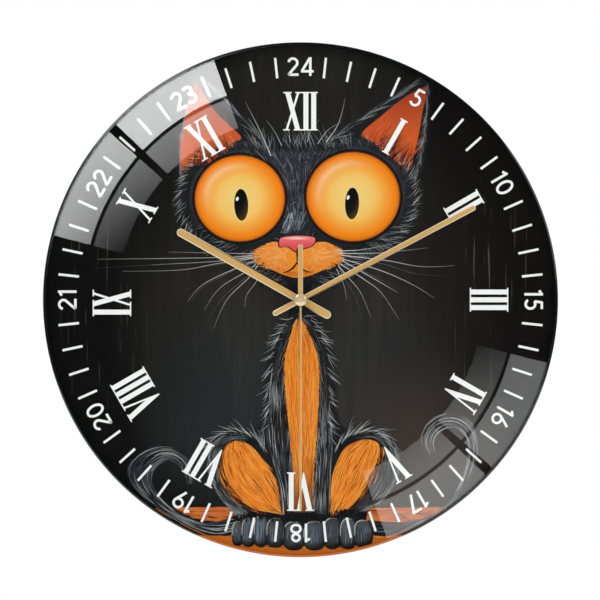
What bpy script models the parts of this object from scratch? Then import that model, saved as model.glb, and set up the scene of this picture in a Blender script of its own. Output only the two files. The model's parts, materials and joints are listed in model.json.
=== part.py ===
# Round frameless glass wall clock with a printed dial, three hands and a quartz movement.
# Metres, +Z up. The dial faces -Y and the wall is the plane y = 0, so a depth d means y = -d.
# The hand axis is the Y axis.
import math

import bmesh
import bpy
from mathutils import Matrix, Vector

MM = 0.001
FIT = 0.3 * MM            # gap between pieces that touch in the real clock
RUN = 0.1 * MM            # radial running clearance of a turning piece

# glass dial
GLASS_DIAMETER = 300 * MM
GLASS_THICKNESS = 4 * MM
GLASS_CHAMFER = 1 * MM
PRINT_THICKNESS = 0.3 * MM
PRINT_INSET = 1.5 * MM
DIAL_STEPS = 96

# movement case
CASE_HALF_WIDTH = 29 * MM
CASE_TOP_MARGIN = 1 * MM
CASE_WALL = 1.5 * MM
PARTITION_THICKNESS = 1.5 * MM
PARTITION_TOP = -16.5 * MM
COVER_THICKNESS = 1.5 * MM

# battery
CELL_RADIUS = 7.1 * MM
CELL_LENGTH = 49 * MM
CELL_NUB_RADIUS = 2.7 * MM
CELL_NUB_LENGTH = 1.2 * MM
CELL_CLEARANCE = 0.9 * MM
CELL_FLOOR_CLEARANCE = 0.4 * MM
CONTACT_THICKNESS = 0.3 * MM

# parts stacked on the front of the case
HANGER_THICKNESS = 1 * MM
HANGER_HALF_WIDTH = 11 * MM
HANGER_RISE = 27 * MM
KEYHOLE_RADIUS = 4 * MM
KEYHOLE_SLOT_RADIUS = 2 * MM
KEYHOLE_SLOT_LENGTH = 7 * MM
GASKET_THICKNESS = 1 * MM
GASKET_RADIUS = 12 * MM
WASHER_THICKNESS = 0.6 * MM
WASHER_RADIUS = 5.6 * MM
NUT_THICKNESS = 1.6 * MM
NUT_RADIUS = 4.8 * MM
PAD_RADIUS = 7 * MM
PAD_X = 78 * MM
PAD_Z = -98 * MM

# concentric arbors, from the inside out
SECOND_ARBOR_R = 0.5 * MM
MINUTE_PIPE_WALL = 0.85 * MM
HOUR_PIPE_WALL = 0.8 * MM
BUSH_WALL = 0.8 * MM
HAND_GAP = 1.6 * MM

# hands
HOUR_LENGTH = 82 * MM
HOUR_TAIL = 20 * MM
HOUR_WIDTH = 4.7 * MM
HOUR_ANGLE = 299.3
MINUTE_LENGTH = 114.8 * MM
MINUTE_TAIL = 18.1 * MM
MINUTE_WIDTH = 3.2 * MM
MINUTE_ANGLE = 62.0
SECOND_LENGTH = 122 * MM
SECOND_TAIL = 32 * MM
SECOND_WIDTH = 1.2 * MM
SECOND_TAIL_WIDTH = 2.8 * MM
SECOND_ANGLE = 180.0
HAND_THICKNESS = 0.5 * MM
SECOND_THICKNESS = 0.4 * MM
CAP_RADIUS = 3.7 * MM
CAP_HEIGHT = 2 * MM

# setting knob
KNOB_RADIUS = 4.3 * MM
KNOB_DEPTH = 0.4 * MM
KNOB_THICKNESS = 2.4 * MM
KNOB_SHAFT_R = 1 * MM

# gears: tooth counts and modules
ROTOR_TEETH = 10
ROTOR_WHEEL_TEETH = 60
ROTOR_MODULE = 0.25 * MM
INTER_PINION_TEETH = 12
SECOND_WHEEL_TEETH = 60
INTER_MODULE = 0.28 * MM
SECOND_PINION_TEETH = 8
THIRD_WHEEL_TEETH = 60
THIRD_MODULE = 0.3 * MM
THIRD_PINION_TEETH = 8
CENTRE_WHEEL_TEETH = 64
CANNON_TEETH = 12
MOTION_WHEEL_TEETH = 36
KNOB_TEETH = 12
MOTION_MODULE = 0.4 * MM
MOTION_PINION_TEETH = 10
HOUR_WHEEL_TEETH = 40
TOOTH_TIP = 0.65          # in modules
TOOTH_ROOT = 1.0
TOOTH_BACKLASH = 0.35
WHEEL_THICKNESS = 0.7 * MM
LEVEL_GAP = 0.3 * MM
ARBOR_R = 0.4 * MM

# directions from the hand axis, counter-clockwise from +X as the viewer sees it
INTER_DIRECTION = 20.0
ROTOR_DIRECTION = -60.0
THIRD_DIRECTION = 200.0
MOTION_DIRECTION = 120.0
KNOB_DIRECTION = 150.0

# derived radii
MINUTE_PIPE_IN = SECOND_ARBOR_R + 1.5 * RUN
MINUTE_PIPE_R = MINUTE_PIPE_IN + MINUTE_PIPE_WALL
HOUR_PIPE_IN = MINUTE_PIPE_R + 2 * RUN
HOUR_PIPE_R = HOUR_PIPE_IN + HOUR_PIPE_WALL
BUSH_IN = HOUR_PIPE_R + 2 * RUN
BUSH_R = BUSH_IN + BUSH_WALL
BUSH_HOLE_R = BUSH_R + FIT

# depths of the stack, from the wall to the viewer; the case is as deep as the cell needs
CELL_DEPTH = CELL_RADIUS + CELL_CLEARANCE
FLOOR_DEPTH = CELL_DEPTH + CELL_RADIUS + CELL_FLOOR_CLEARANCE
CASE_DEPTH = FLOOR_DEPTH + CASE_WALL
HANGER_BACK = CASE_DEPTH + FIT
HANGER_FRONT = HANGER_BACK + HANGER_THICKNESS
GASKET_BACK = HANGER_FRONT + FIT
GASKET_FRONT = GASKET_BACK + GASKET_THICKNESS
PRINT_BACK = GASKET_FRONT + FIT
PRINT_FRONT = PRINT_BACK + PRINT_THICKNESS
GLASS_BACK = PRINT_FRONT + FIT
GLASS_FRONT = GLASS_BACK + GLASS_THICKNESS
WASHER_BACK = GLASS_FRONT + FIT
WASHER_FRONT = WASHER_BACK + WASHER_THICKNESS
NUT_BACK = WASHER_FRONT + FIT
NUT_FRONT = NUT_BACK + NUT_THICKNESS
BUSH_FRONT = NUT_FRONT + 0.2 * MM
HOUR_COLLET_BACK = BUSH_FRONT + FIT
HOUR_COLLET_FRONT = HOUR_COLLET_BACK + 0.5 * MM
HOUR_BACK = HOUR_COLLET_FRONT + 0.1 * MM
HOUR_FRONT = HOUR_BACK + HAND_THICKNESS
HOUR_PIPE_FRONT = HOUR_FRONT + 0.3 * MM
MINUTE_COLLET_BACK = HOUR_PIPE_FRONT + FIT
MINUTE_BACK = HOUR_FRONT + HAND_GAP
MINUTE_COLLET_FRONT = MINUTE_BACK - 0.1 * MM
MINUTE_FRONT = MINUTE_BACK + HAND_THICKNESS
MINUTE_PIPE_FRONT = MINUTE_FRONT + 0.3 * MM
SECOND_COLLET_BACK = MINUTE_PIPE_FRONT + FIT
SECOND_BACK = MINUTE_FRONT + HAND_GAP
SECOND_COLLET_FRONT = SECOND_BACK - 0.1 * MM
SECOND_FRONT = SECOND_BACK + SECOND_THICKNESS
SECOND_ARBOR_FRONT = SECOND_FRONT + 0.1 * MM
CAP_BACK = SECOND_ARBOR_FRONT + 0.1 * MM

# depths of the wheels, from the back cover forwards
COVER_FRONT = COVER_THICKNESS
INTER_BACK = COVER_FRONT + 2.4 * MM
SECOND_WHEEL_BACK = INTER_BACK + WHEEL_THICKNESS + 4 * LEVEL_GAP
THIRD_BACK = SECOND_WHEEL_BACK + WHEEL_THICKNESS + 4 * LEVEL_GAP
CENTRE_BACK = THIRD_BACK + WHEEL_THICKNESS + 4 * LEVEL_GAP
BRIDGE_THICKNESS = 0.8 * MM
BRIDGE_BACK = CENTRE_BACK + WHEEL_THICKNESS + 2 * LEVEL_GAP
BRIDGE_FRONT = BRIDGE_BACK + BRIDGE_THICKNESS
MOTION_BACK = BRIDGE_FRONT + 2 * LEVEL_GAP
HOUR_WHEEL_BACK = MOTION_BACK + WHEEL_THICKNESS + 2.5 * LEVEL_GAP
HOUR_WHEEL_FRONT = HOUR_WHEEL_BACK + WHEEL_THICKNESS


def clear_scene():
    for item in list(bpy.data.objects):
        bpy.data.objects.remove(item, do_unlink=True)


def new_collection(name):
    group = bpy.data.collections.new(name)
    bpy.context.scene.collection.children.link(group)
    return group


def material(name, colour, roughness, metallic=0.0):
    mat = bpy.data.materials.get(name)
    if mat is None:
        mat = bpy.data.materials.new(name)
        mat.use_nodes = True
        shader = mat.node_tree.nodes["Principled BSDF"]
        shader.inputs["Base Color"].default_value = (*colour, 1.0)
        shader.inputs["Roughness"].default_value = roughness
        shader.inputs["Metallic"].default_value = metallic
        mat.diffuse_color = (*colour, 1.0)
    return mat


clear_scene()
parts = new_collection("cat_tail_clock")
tools = new_collection("cutters")

gold = material("brushed_gold", (0.62, 0.42, 0.20), 0.35, 1.0)
brass = material("brass", (0.72, 0.52, 0.24), 0.3, 1.0)
steel = material("plated_steel", (0.62, 0.63, 0.65), 0.35, 1.0)
copper = material("copper_wire", (0.65, 0.25, 0.10), 0.4, 1.0)
black = material("black_plastic", (0.02, 0.02, 0.022), 0.5)
white = material("white_plastic", (0.82, 0.80, 0.74), 0.45)
amber = material("amber_plastic", (0.75, 0.60, 0.35), 0.4)
glass = material("glass", (0.85, 0.93, 0.90), 0.03)
print_ink = material("dial_print", (0.10, 0.09, 0.09), 0.4)
foam = material("foam", (0.05, 0.05, 0.05), 0.95)
board = material("board", (0.10, 0.28, 0.12), 0.5)
magnet = material("magnet", (0.12, 0.12, 0.13), 0.35, 1.0)
cell_wrap = material("cell_wrap", (0.10, 0.10, 0.11), 0.35, 0.2)


def link(mesh, name, mat, group=None):
    obj = bpy.data.objects.new(name, mesh)
    if mat is not None and not mesh.materials:
        mesh.materials.append(mat)
    (group or parts).objects.link(obj)
    return obj


def as_tool(obj):
    for group in list(obj.users_collection):
        group.objects.unlink(obj)
    tools.objects.link(obj)
    obj.hide_render = True
    obj.display_type = "WIRE"
    return obj


def boolean(obj, tool, operation="DIFFERENCE"):
    as_tool(tool)
    mod = obj.modifiers.new(operation.title(), "BOOLEAN")
    mod.operation = operation
    mod.solver = "EXACT"
    mod.object = tool
    return obj


def place(obj, x=0.0, z=0.0, depth=0.0):
    """Local +Z of a turned or flat shape points at the viewer, local +Y points up."""
    obj.location = (x, -depth, z)
    obj.rotation_euler = (math.pi / 2, 0, 0)
    return obj


def disc(name, radius, back, front, mat, x=0.0, z=0.0, steps=32):
    """A cylinder along Y between two depths."""
    bm = bmesh.new()
    bmesh.ops.create_cone(bm, cap_ends=True, segments=steps, radius1=radius,
                          radius2=radius, depth=front - back)
    mesh = bpy.data.meshes.new(name)
    bm.to_mesh(mesh)
    bm.free()
    obj = link(mesh, name, mat)
    mesh.shade_smooth()
    mesh.set_sharp_from_angle(angle=math.radians(30))
    return place(obj, x, z, (back + front) / 2)


def box(name, x0, x1, z0, z1, back, front, mat):
    """A box between two x, two z and two depths."""
    bm = bmesh.new()
    bmesh.ops.create_cube(bm, size=1.0)
    bmesh.ops.scale(bm, vec=Vector((x1 - x0, front - back, z1 - z0)), verts=bm.verts)
    mesh = bpy.data.meshes.new(name)
    bm.to_mesh(mesh)
    bm.free()
    obj = link(mesh, name, mat)
    obj.location = ((x0 + x1) / 2, -(back + front) / 2, (z0 + z1) / 2)
    return obj


def turned(name, profile, mat, x=0.0, z=0.0, steps=32):
    """A closed ring profile of (radius, depth) pairs turned about the Y axis. The outer side
    runs from the front to the back, because local +Z points at the viewer."""
    mesh = bpy.data.meshes.new(name)
    bm = bmesh.new()
    points = [bm.verts.new((r, 0.0, d)) for r, d in profile]
    on_axis = profile[0][0] < 1e-7
    pairs = list(zip(points, points[1:]))
    if not on_axis:
        pairs.append((points[-1], points[0]))
    for a, b in pairs:
        bm.edges.new((a, b))
    bm.to_mesh(mesh)
    bm.free()
    obj = link(mesh, name, mat)
    mod = obj.modifiers.new("Screw", "SCREW")
    mod.axis = "Z"
    mod.angle = 2 * math.pi
    mod.steps = steps
    mod.render_steps = steps
    mod.use_merge_vertices = True
    mod.merge_threshold = 0.000001
    mod.use_smooth_shade = False
    return place(obj, x, z)


def ring(name, inner, outer, back, front, mat, x=0.0, z=0.0, steps=32):
    profile = [(inner, front), (outer, front), (outer, back), (inner, back)]
    return turned(name, profile, mat, x, z, steps)


def flat(name, splines, back, front, mat, x=0.0, z=0.0):
    """A flat outline with any holes, filled and extruded between two depths."""
    curve = bpy.data.curves.new(name + "_outline", "CURVE")
    curve.dimensions = "2D"
    curve.fill_mode = "BOTH"
    curve.extrude = (front - back) / 2
    for points in splines:
        spline = curve.splines.new("POLY")
        spline.points.add(len(points) - 1)
        for knot, (px, pz) in zip(spline.points, points):
            knot.co = (px, pz, 0.0, 1.0)
        spline.use_cyclic_u = True
    outline = bpy.data.objects.new(name + "_outline", curve)
    parts.objects.link(outline)
    place(outline, x, z, (back + front) / 2)
    bpy.context.view_layer.update()
    graph = bpy.context.evaluated_depsgraph_get()
    mesh = bpy.data.meshes.new_from_object(outline.evaluated_get(graph))
    mesh.name = name
    matrix = outline.matrix_world.copy()
    bpy.data.objects.remove(outline, do_unlink=True)
    bm = bmesh.new()
    bm.from_mesh(mesh)
    bmesh.ops.remove_doubles(bm, verts=bm.verts, dist=1e-7)
    bm.to_mesh(mesh)
    bm.free()
    mesh.materials.clear()
    obj = link(mesh, name, mat)
    obj.matrix_world = matrix
    return obj


def circle(radius, steps=24, x=0.0, z=0.0, start=0.0):
    turns = [start + 2 * math.pi * i / steps for i in range(steps)]
    return [(x + radius * math.cos(a), z + radius * math.sin(a)) for a in turns]


def gear(teeth, module, phase):
    """Outline of a spur gear with straight-sided teeth; phase is a tooth's direction."""
    pitch_r = teeth * module / 2
    thick = (math.pi / 2 - TOOTH_BACKLASH) * module
    tip_r = pitch_r + TOOTH_TIP * module
    root_r = pitch_r - TOOTH_ROOT * module
    tip_half = (thick - 0.84 * TOOTH_TIP * module) / 2
    root_half = (thick + 0.5 * TOOTH_ROOT * module) / 2
    points = []
    for i in range(teeth):
        middle = phase + 2 * math.pi * i / teeth
        for radius, half in ((root_r, -root_half), (tip_r, -tip_half),
                             (tip_r, tip_half), (root_r, root_half)):
            angle = middle + half / radius
            points.append((radius * math.cos(angle), radius * math.sin(angle)))
    return points


def mesh_phase(phase_a, teeth_a, teeth_b, direction):
    """Phase of gear b so that a gap meets gear a's tooth along the line from a to b."""
    offset = phase_a - direction
    return direction + math.pi - offset * teeth_a / teeth_b - math.pi / teeth_b


def towards(angle, distance, x=0.0, z=0.0):
    turn = math.radians(angle)
    return x + distance * math.cos(turn), z + distance * math.sin(turn)


def centres(teeth_a, teeth_b, module):
    return (teeth_a + teeth_b) * module / 2


def group(name, pieces, x=0.0, z=0.0):
    """An empty on a joint's axis that carries the pieces turning about it."""
    empty = bpy.data.objects.new(name, None)
    empty.empty_display_size = 0.01
    parts.objects.link(empty)
    empty.location = (x, 0, z)
    bpy.context.view_layer.update()
    for piece in pieces:
        world = piece.matrix_world.copy()
        piece.parent = empty
        piece.matrix_parent_inverse = Matrix.Identity(4)
        piece.matrix_basis = empty.matrix_world.inverted() @ world
    return empty


# wheel centres
inter_x, inter_z = towards(INTER_DIRECTION,
                           centres(INTER_PINION_TEETH, SECOND_WHEEL_TEETH, INTER_MODULE))
rotor_x, rotor_z = towards(ROTOR_DIRECTION,
                           centres(ROTOR_TEETH, ROTOR_WHEEL_TEETH, ROTOR_MODULE),
                           inter_x, inter_z)
third_distance = centres(SECOND_PINION_TEETH, THIRD_WHEEL_TEETH, THIRD_MODULE)
third_x, third_z = towards(THIRD_DIRECTION, third_distance)
motion_distance = centres(CANNON_TEETH, MOTION_WHEEL_TEETH, MOTION_MODULE)
motion_x, motion_z = towards(MOTION_DIRECTION, motion_distance)
knob_x, knob_z = towards(KNOB_DIRECTION,
                         centres(KNOB_TEETH, MOTION_WHEEL_TEETH, MOTION_MODULE),
                         motion_x, motion_z)
centre_module = 2 * third_distance / (THIRD_PINION_TEETH + CENTRE_WHEEL_TEETH)
hour_module = 2 * motion_distance / (MOTION_PINION_TEETH + HOUR_WHEEL_TEETH)

# tooth phases, each taken from the wheel it meshes with
second_phase = math.radians(INTER_DIRECTION)
inter_pinion_phase = mesh_phase(second_phase, SECOND_WHEEL_TEETH, INTER_PINION_TEETH,
                                math.radians(INTER_DIRECTION))
inter_phase = math.radians(ROTOR_DIRECTION)
rotor_phase = mesh_phase(inter_phase, ROTOR_WHEEL_TEETH, ROTOR_TEETH,
                         math.radians(ROTOR_DIRECTION))
second_pinion_phase = math.radians(THIRD_DIRECTION)
third_phase = mesh_phase(second_pinion_phase, SECOND_PINION_TEETH, THIRD_WHEEL_TEETH,
                         math.radians(THIRD_DIRECTION))
third_pinion_phase = math.radians(THIRD_DIRECTION + 180)
centre_phase = mesh_phase(third_pinion_phase, THIRD_PINION_TEETH, CENTRE_WHEEL_TEETH,
                          math.radians(THIRD_DIRECTION + 180))
cannon_phase = math.radians(MOTION_DIRECTION)
motion_phase = mesh_phase(cannon_phase, CANNON_TEETH, MOTION_WHEEL_TEETH,
                          math.radians(MOTION_DIRECTION))
motion_pinion_phase = math.radians(MOTION_DIRECTION + 180)
hour_phase = mesh_phase(motion_pinion_phase, MOTION_PINION_TEETH, HOUR_WHEEL_TEETH,
                        math.radians(MOTION_DIRECTION + 180))
knob_phase = mesh_phase(motion_phase, MOTION_WHEEL_TEETH, KNOB_TEETH,
                        math.radians(KNOB_DIRECTION))


def gear_radius(teeth, module):
    return teeth * module / 2 + TOOTH_TIP * module


# the case reaches a margin above the knob's hole, or above the largest wheel beside it
CASE_TOP = max(knob_z + KNOB_RADIUS + 2 * FIT,
               motion_z + gear_radius(MOTION_WHEEL_TEETH, MOTION_MODULE) + 2 * FIT
               ) + CASE_TOP_MARGIN + CASE_WALL

# glass dial and its printed layer
half = GLASS_DIAMETER / 2
turned("glass_dial", [
    (BUSH_HOLE_R, GLASS_FRONT),
    (half - GLASS_CHAMFER, GLASS_FRONT),
    (half, GLASS_FRONT - GLASS_CHAMFER),
    (half, GLASS_BACK + GLASS_CHAMFER),
    (half - GLASS_CHAMFER, GLASS_BACK),
    (BUSH_HOLE_R, GLASS_BACK)], glass, steps=DIAL_STEPS)
ring("print_film", BUSH_HOLE_R, half - PRINT_INSET, PRINT_BACK, PRINT_FRONT, print_ink,
     steps=DIAL_STEPS)
for side, side_x in (("left", -PAD_X), ("right", PAD_X)):
    disc("wall_pad_" + side, PAD_RADIUS, 0.0, PRINT_BACK - FIT, foam, side_x, PAD_Z)

# movement case: a box open to the wall, with a partition above the battery bay
bay_top = PARTITION_TOP - PARTITION_THICKNESS
bay_height = 2 * (CELL_RADIUS + CELL_CLEARANCE)
cell_z = bay_top - bay_height / 2
case_bottom = bay_top - bay_height - CASE_WALL
inner_x = CASE_HALF_WIDTH - CASE_WALL
inner_top = CASE_TOP - CASE_WALL
case = box("case_front", -CASE_HALF_WIDTH, CASE_HALF_WIDTH, case_bottom, CASE_TOP,
           0.0, CASE_DEPTH, black)
boolean(case, box("case_chamber", -inner_x, inner_x, PARTITION_TOP, inner_top,
                  -2 * MM, FLOOR_DEPTH, None))
boolean(case, box("case_bay", -inner_x, inner_x, case_bottom + CASE_WALL, bay_top,
                  -2 * MM, FLOOR_DEPTH, None))
cover_bottom = PARTITION_TOP - PARTITION_THICKNESS / 2
boolean(case, box("case_cover_seat", -CASE_HALF_WIDTH - MM, CASE_HALF_WIDTH + MM,
                  cover_bottom - FIT, CASE_TOP + MM, -3 * MM, COVER_FRONT + FIT, None))
boolean(case, disc("case_bush_hole", BUSH_HOLE_R, FLOOR_DEPTH - MM, CASE_DEPTH + MM, None))
BUSH_FLANGE_R = BUSH_R + 1.2 * MM
flange_depth = 0.7 * MM
boolean(case, disc("case_bush_seat", BUSH_FLANGE_R + FIT, FLOOR_DEPTH - 1.5 * MM,
                   FLOOR_DEPTH + flange_depth, None))
CONTACT_TAB = (CELL_DEPTH - 1.7 * MM, CELL_DEPTH + 1.7 * MM)
for side, sign in (("left", -1), ("right", 1)):
    near = inner_x - CONTACT_THICKNESS - 2 * FIT
    xs = sorted((sign * near, sign * (inner_x + 0.01 * MM)))
    boolean(case, box("case_notch_" + side, xs[0], xs[1], bay_top - MM, PARTITION_TOP + MM,
                      CONTACT_TAB[0] - FIT, CONTACT_TAB[1] + FIT, None))

# back cover over the wheels, with a hole for the setting knob
cover = box("back_cover", -CASE_HALF_WIDTH, CASE_HALF_WIDTH, cover_bottom, CASE_TOP,
            0.0, COVER_THICKNESS, black)
boolean(cover, disc("cover_knob_hole", KNOB_RADIUS + 2 * FIT, -MM, COVER_THICKNESS + MM,
                    None, knob_x, knob_z))

# bridge: a plate on three pillars that carries the front ends of the arbors
PILLAR_R = 1.5 * MM
PILLAR_KNOB_GAP = 0.3 * MM
pillar_drop = KNOB_RADIUS + PILLAR_R + PILLAR_KNOB_GAP
bridge_outline = [(-19.0 * MM, -10.0 * MM), (-6.0 * MM, -15.6 * MM), (8.0 * MM, -15.6 * MM),
                  (18.2 * MM, -8.0 * MM), (18.2 * MM, 16.0 * MM), (8.0 * MM, 16.0 * MM),
                  (knob_x + 2.6 * MM, knob_z - 3.2 * MM), (-19.0 * MM, knob_z - 3.2 * MM)]
bridge = flat("gear_bridge", [
    bridge_outline,
    circle(MINUTE_PIPE_R + FIT),
    circle(ARBOR_R + RUN, 12, third_x, third_z),
    circle(ARBOR_R + RUN, 12, inter_x, inter_z),
    circle(ARBOR_R + RUN, 12, rotor_x, rotor_z)], BRIDGE_BACK, BRIDGE_FRONT, brass)
pillars = ((-16.6 * MM, knob_z - pillar_drop), (16.0 * MM, 13.6 * MM), (2.0 * MM, -13.7 * MM))
for index, (px, pz) in enumerate(pillars):
    pillar = disc("bridge_pillar_%d" % index, PILLAR_R, COVER_FRONT + FIT,
                  BRIDGE_FRONT - 0.2 * MM, None, px, pz, 16)
    boolean(bridge, pillar, "UNION")
MOTION_POST_R = 0.7 * MM
post = disc("bridge_motion_post", MOTION_POST_R, BRIDGE_BACK + 0.2 * MM,
            FLOOR_DEPTH - FIT, None, motion_x, motion_z, 16)
boolean(bridge, post, "UNION")

# threaded bush through the case, the hanger plate and the glass, with its nut and washers
turned("threaded_bush", [
    (BUSH_IN, BUSH_FRONT), (BUSH_R, BUSH_FRONT), (BUSH_R, FLOOR_DEPTH + flange_depth - FIT),
    (BUSH_FLANGE_R, FLOOR_DEPTH + flange_depth - FIT), (BUSH_FLANGE_R, FLOOR_DEPTH),
    (BUSH_IN, FLOOR_DEPTH)], brass)
nut_chamfer = 0.4 * MM
turned("ring_nut", [
    (BUSH_R + FIT, NUT_FRONT), (NUT_RADIUS - nut_chamfer, NUT_FRONT),
    (NUT_RADIUS, NUT_FRONT - nut_chamfer), (NUT_RADIUS, NUT_BACK),
    (BUSH_R + FIT, NUT_BACK)], black)
ring("front_washer", BUSH_HOLE_R, WASHER_RADIUS, WASHER_BACK, WASHER_FRONT, black)
ring("rubber_gasket", BUSH_HOLE_R, GASKET_RADIUS, GASKET_BACK, GASKET_FRONT, foam)

# hanger plate: steel strip that steps back over the case to a keyhole near the wall
HANGER_STEP = 1.5 * MM
HANGER_EYE_BACK = 1.2 * MM
step_z = CASE_TOP + HANGER_STEP
eye_z = step_z + HANGER_RISE / 2
strip = [(-HANGER_BACK, -GASKET_RADIUS), (-HANGER_FRONT, -GASKET_RADIUS),
         (-HANGER_FRONT, step_z + HANGER_THICKNESS),
         (-HANGER_EYE_BACK - HANGER_THICKNESS, step_z + HANGER_THICKNESS),
         (-HANGER_EYE_BACK - HANGER_THICKNESS, step_z + HANGER_RISE),
         (-HANGER_EYE_BACK, step_z + HANGER_RISE), (-HANGER_EYE_BACK, step_z),
         (-HANGER_BACK, step_z)]
curve = bpy.data.curves.new("hanger_outline", "CURVE")
curve.dimensions = "2D"
curve.fill_mode = "BOTH"
curve.extrude = HANGER_HALF_WIDTH
spline = curve.splines.new("POLY")
spline.points.add(len(strip) - 1)
for knot, (py, pz) in zip(spline.points, strip):
    knot.co = (py, pz, 0.0, 1.0)
spline.use_cyclic_u = True
outline = bpy.data.objects.new("hanger_outline", curve)
parts.objects.link(outline)
outline.rotation_euler = (math.pi / 2, 0, math.pi / 2)
bpy.context.view_layer.update()
hanger_mesh = bpy.data.meshes.new_from_object(
    outline.evaluated_get(bpy.context.evaluated_depsgraph_get()))
hanger_matrix = outline.matrix_world.copy()
bpy.data.objects.remove(outline, do_unlink=True)
bm = bmesh.new()
bm.from_mesh(hanger_mesh)
bmesh.ops.remove_doubles(bm, verts=bm.verts, dist=1e-7)
bm.to_mesh(hanger_mesh)
bm.free()
hanger_mesh.materials.clear()
hanger = link(hanger_mesh, "hanger_plate", steel)
hanger.matrix_world = hanger_matrix
boolean(hanger, disc("hanger_bush_hole", BUSH_HOLE_R, CASE_DEPTH - MM, HANGER_FRONT + MM, None))
keyhole_z = eye_z - KEYHOLE_SLOT_LENGTH / 2
eye = disc("hanger_keyhole", KEYHOLE_RADIUS, 0.0, HANGER_EYE_BACK + HANGER_THICKNESS + MM,
           None, 0.0, keyhole_z)
boolean(hanger, eye)
slot = flat("hanger_slot", [[
    (-KEYHOLE_SLOT_RADIUS, keyhole_z), (KEYHOLE_SLOT_RADIUS, keyhole_z)] +
    [(KEYHOLE_SLOT_RADIUS * math.cos(a), keyhole_z + KEYHOLE_SLOT_LENGTH
      + KEYHOLE_SLOT_RADIUS * math.sin(a))
     for a in [math.pi * i / 12 for i in range(13)]]],
    0.0, HANGER_EYE_BACK + HANGER_THICKNESS + MM, None)
boolean(hanger, slot)

# stepping motor: bobbin, winding and core beside the stator plate
COIL_X = 22.0 * MM
COIL_DEPTH = 7.6 * MM
COIL_RADIUS = 3.5 * MM
COIL_LOW = -9.5 * MM
COIL_HIGH = 8.5 * MM
FLANGE = 0.8 * MM
CORE_HALF = 0.8 * MM
BOBBIN_R = 1.7 * MM


def upright(name, profile, mat, x, depth, steps=24):
    """A closed ring profile of (radius, z) pairs turned about a vertical axis."""
    obj = turned(name, profile, mat, steps=steps)
    obj.rotation_euler = (0, 0, 0)
    obj.location = (x, -depth, 0)
    return obj


core_r = CORE_HALF * math.sqrt(2) + FIT
upright("coil_bobbin", [
    (core_r, COIL_HIGH), (COIL_RADIUS + 0.3 * MM, COIL_HIGH),
    (COIL_RADIUS + 0.3 * MM, COIL_HIGH - FLANGE), (BOBBIN_R, COIL_HIGH - FLANGE),
    (BOBBIN_R, COIL_LOW + FLANGE), (COIL_RADIUS + 0.3 * MM, COIL_LOW + FLANGE),
    (COIL_RADIUS + 0.3 * MM, COIL_LOW), (core_r, COIL_LOW)], amber, COIL_X, COIL_DEPTH)
upright("coil_winding", [
    (BOBBIN_R + RUN, COIL_HIGH - FLANGE - FIT), (COIL_RADIUS, COIL_HIGH - FLANGE - FIT),
    (COIL_RADIUS, COIL_LOW + FLANGE + FIT), (BOBBIN_R + RUN, COIL_LOW + FLANGE + FIT)],
    copper, COIL_X, COIL_DEPTH)
STATOR_THICKNESS = 1 * MM
stator_back = COIL_DEPTH - STATOR_THICKNESS / 2
CORE_OVER = 5.2 * MM
box("coil_core", COIL_X - CORE_HALF, COIL_X + CORE_HALF, COIL_LOW - CORE_OVER,
    COIL_HIGH + CORE_OVER, COIL_DEPTH - CORE_HALF, COIL_DEPTH + CORE_HALF, steel)
arm = 2.8 * MM
arm_low = COIL_LOW - FIT - arm
arm_high = COIL_HIGH + FIT + arm
column_in = rotor_x + 3.9 * MM
column_out = rotor_x - 3.9 * MM
relief_x = inter_x + ARBOR_R + 2 * MM
inside = COIL_X - CORE_HALF - FIT
flat("stator_plate", [[
    (column_out, arm_low), (inside, arm_low), (inside, arm_low + arm),
    (column_in, arm_low + arm), (column_in, arm_high - arm), (inside, arm_high - arm),
    (inside, arm_high), (relief_x, arm_high), (relief_x, rotor_z + 4.2 * MM),
    (column_out, rotor_z + 3.0 * MM)],
    circle(2.5 * MM + 2 * FIT, 24, rotor_x, rotor_z)],
    stator_back, stator_back + STATOR_THICKNESS, steel)

# circuit board with its chip and crystal
BOARD_X = (-26.6 * MM, -19.4 * MM)
BOARD_BACK = 11.0 * MM
box("circuit_board", BOARD_X[0], BOARD_X[1], -14.5 * MM, 8.0 * MM, BOARD_BACK,
    BOARD_BACK + MM, board)
box("control_chip", BOARD_X[0] + 1.6 * MM, BOARD_X[1] - 1.6 * MM, -4.0 * MM, 0.0,
    BOARD_BACK - FIT - 1.2 * MM, BOARD_BACK - FIT, black)
crystal = disc("quartz_crystal", 1 * MM, -3 * MM, 3 * MM, steel,
               (BOARD_X[0] + BOARD_X[1]) / 2, 0, 16)
crystal.rotation_euler = (0, 0, 0)
crystal.location = ((BOARD_X[0] + BOARD_X[1]) / 2, -(BOARD_BACK - FIT - 1 * MM), -9.5 * MM)

# battery and its two contacts
cell_left = -CELL_LENGTH / 2 - 0.4 * MM
cell_right = cell_left + CELL_LENGTH


def lengthwise(obj, z, depth):
    """Turn a shape made along local Z so that it runs along +X."""
    obj.rotation_euler = (0, math.pi / 2, 0)
    obj.location = (0, -depth, z)
    return obj


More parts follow.
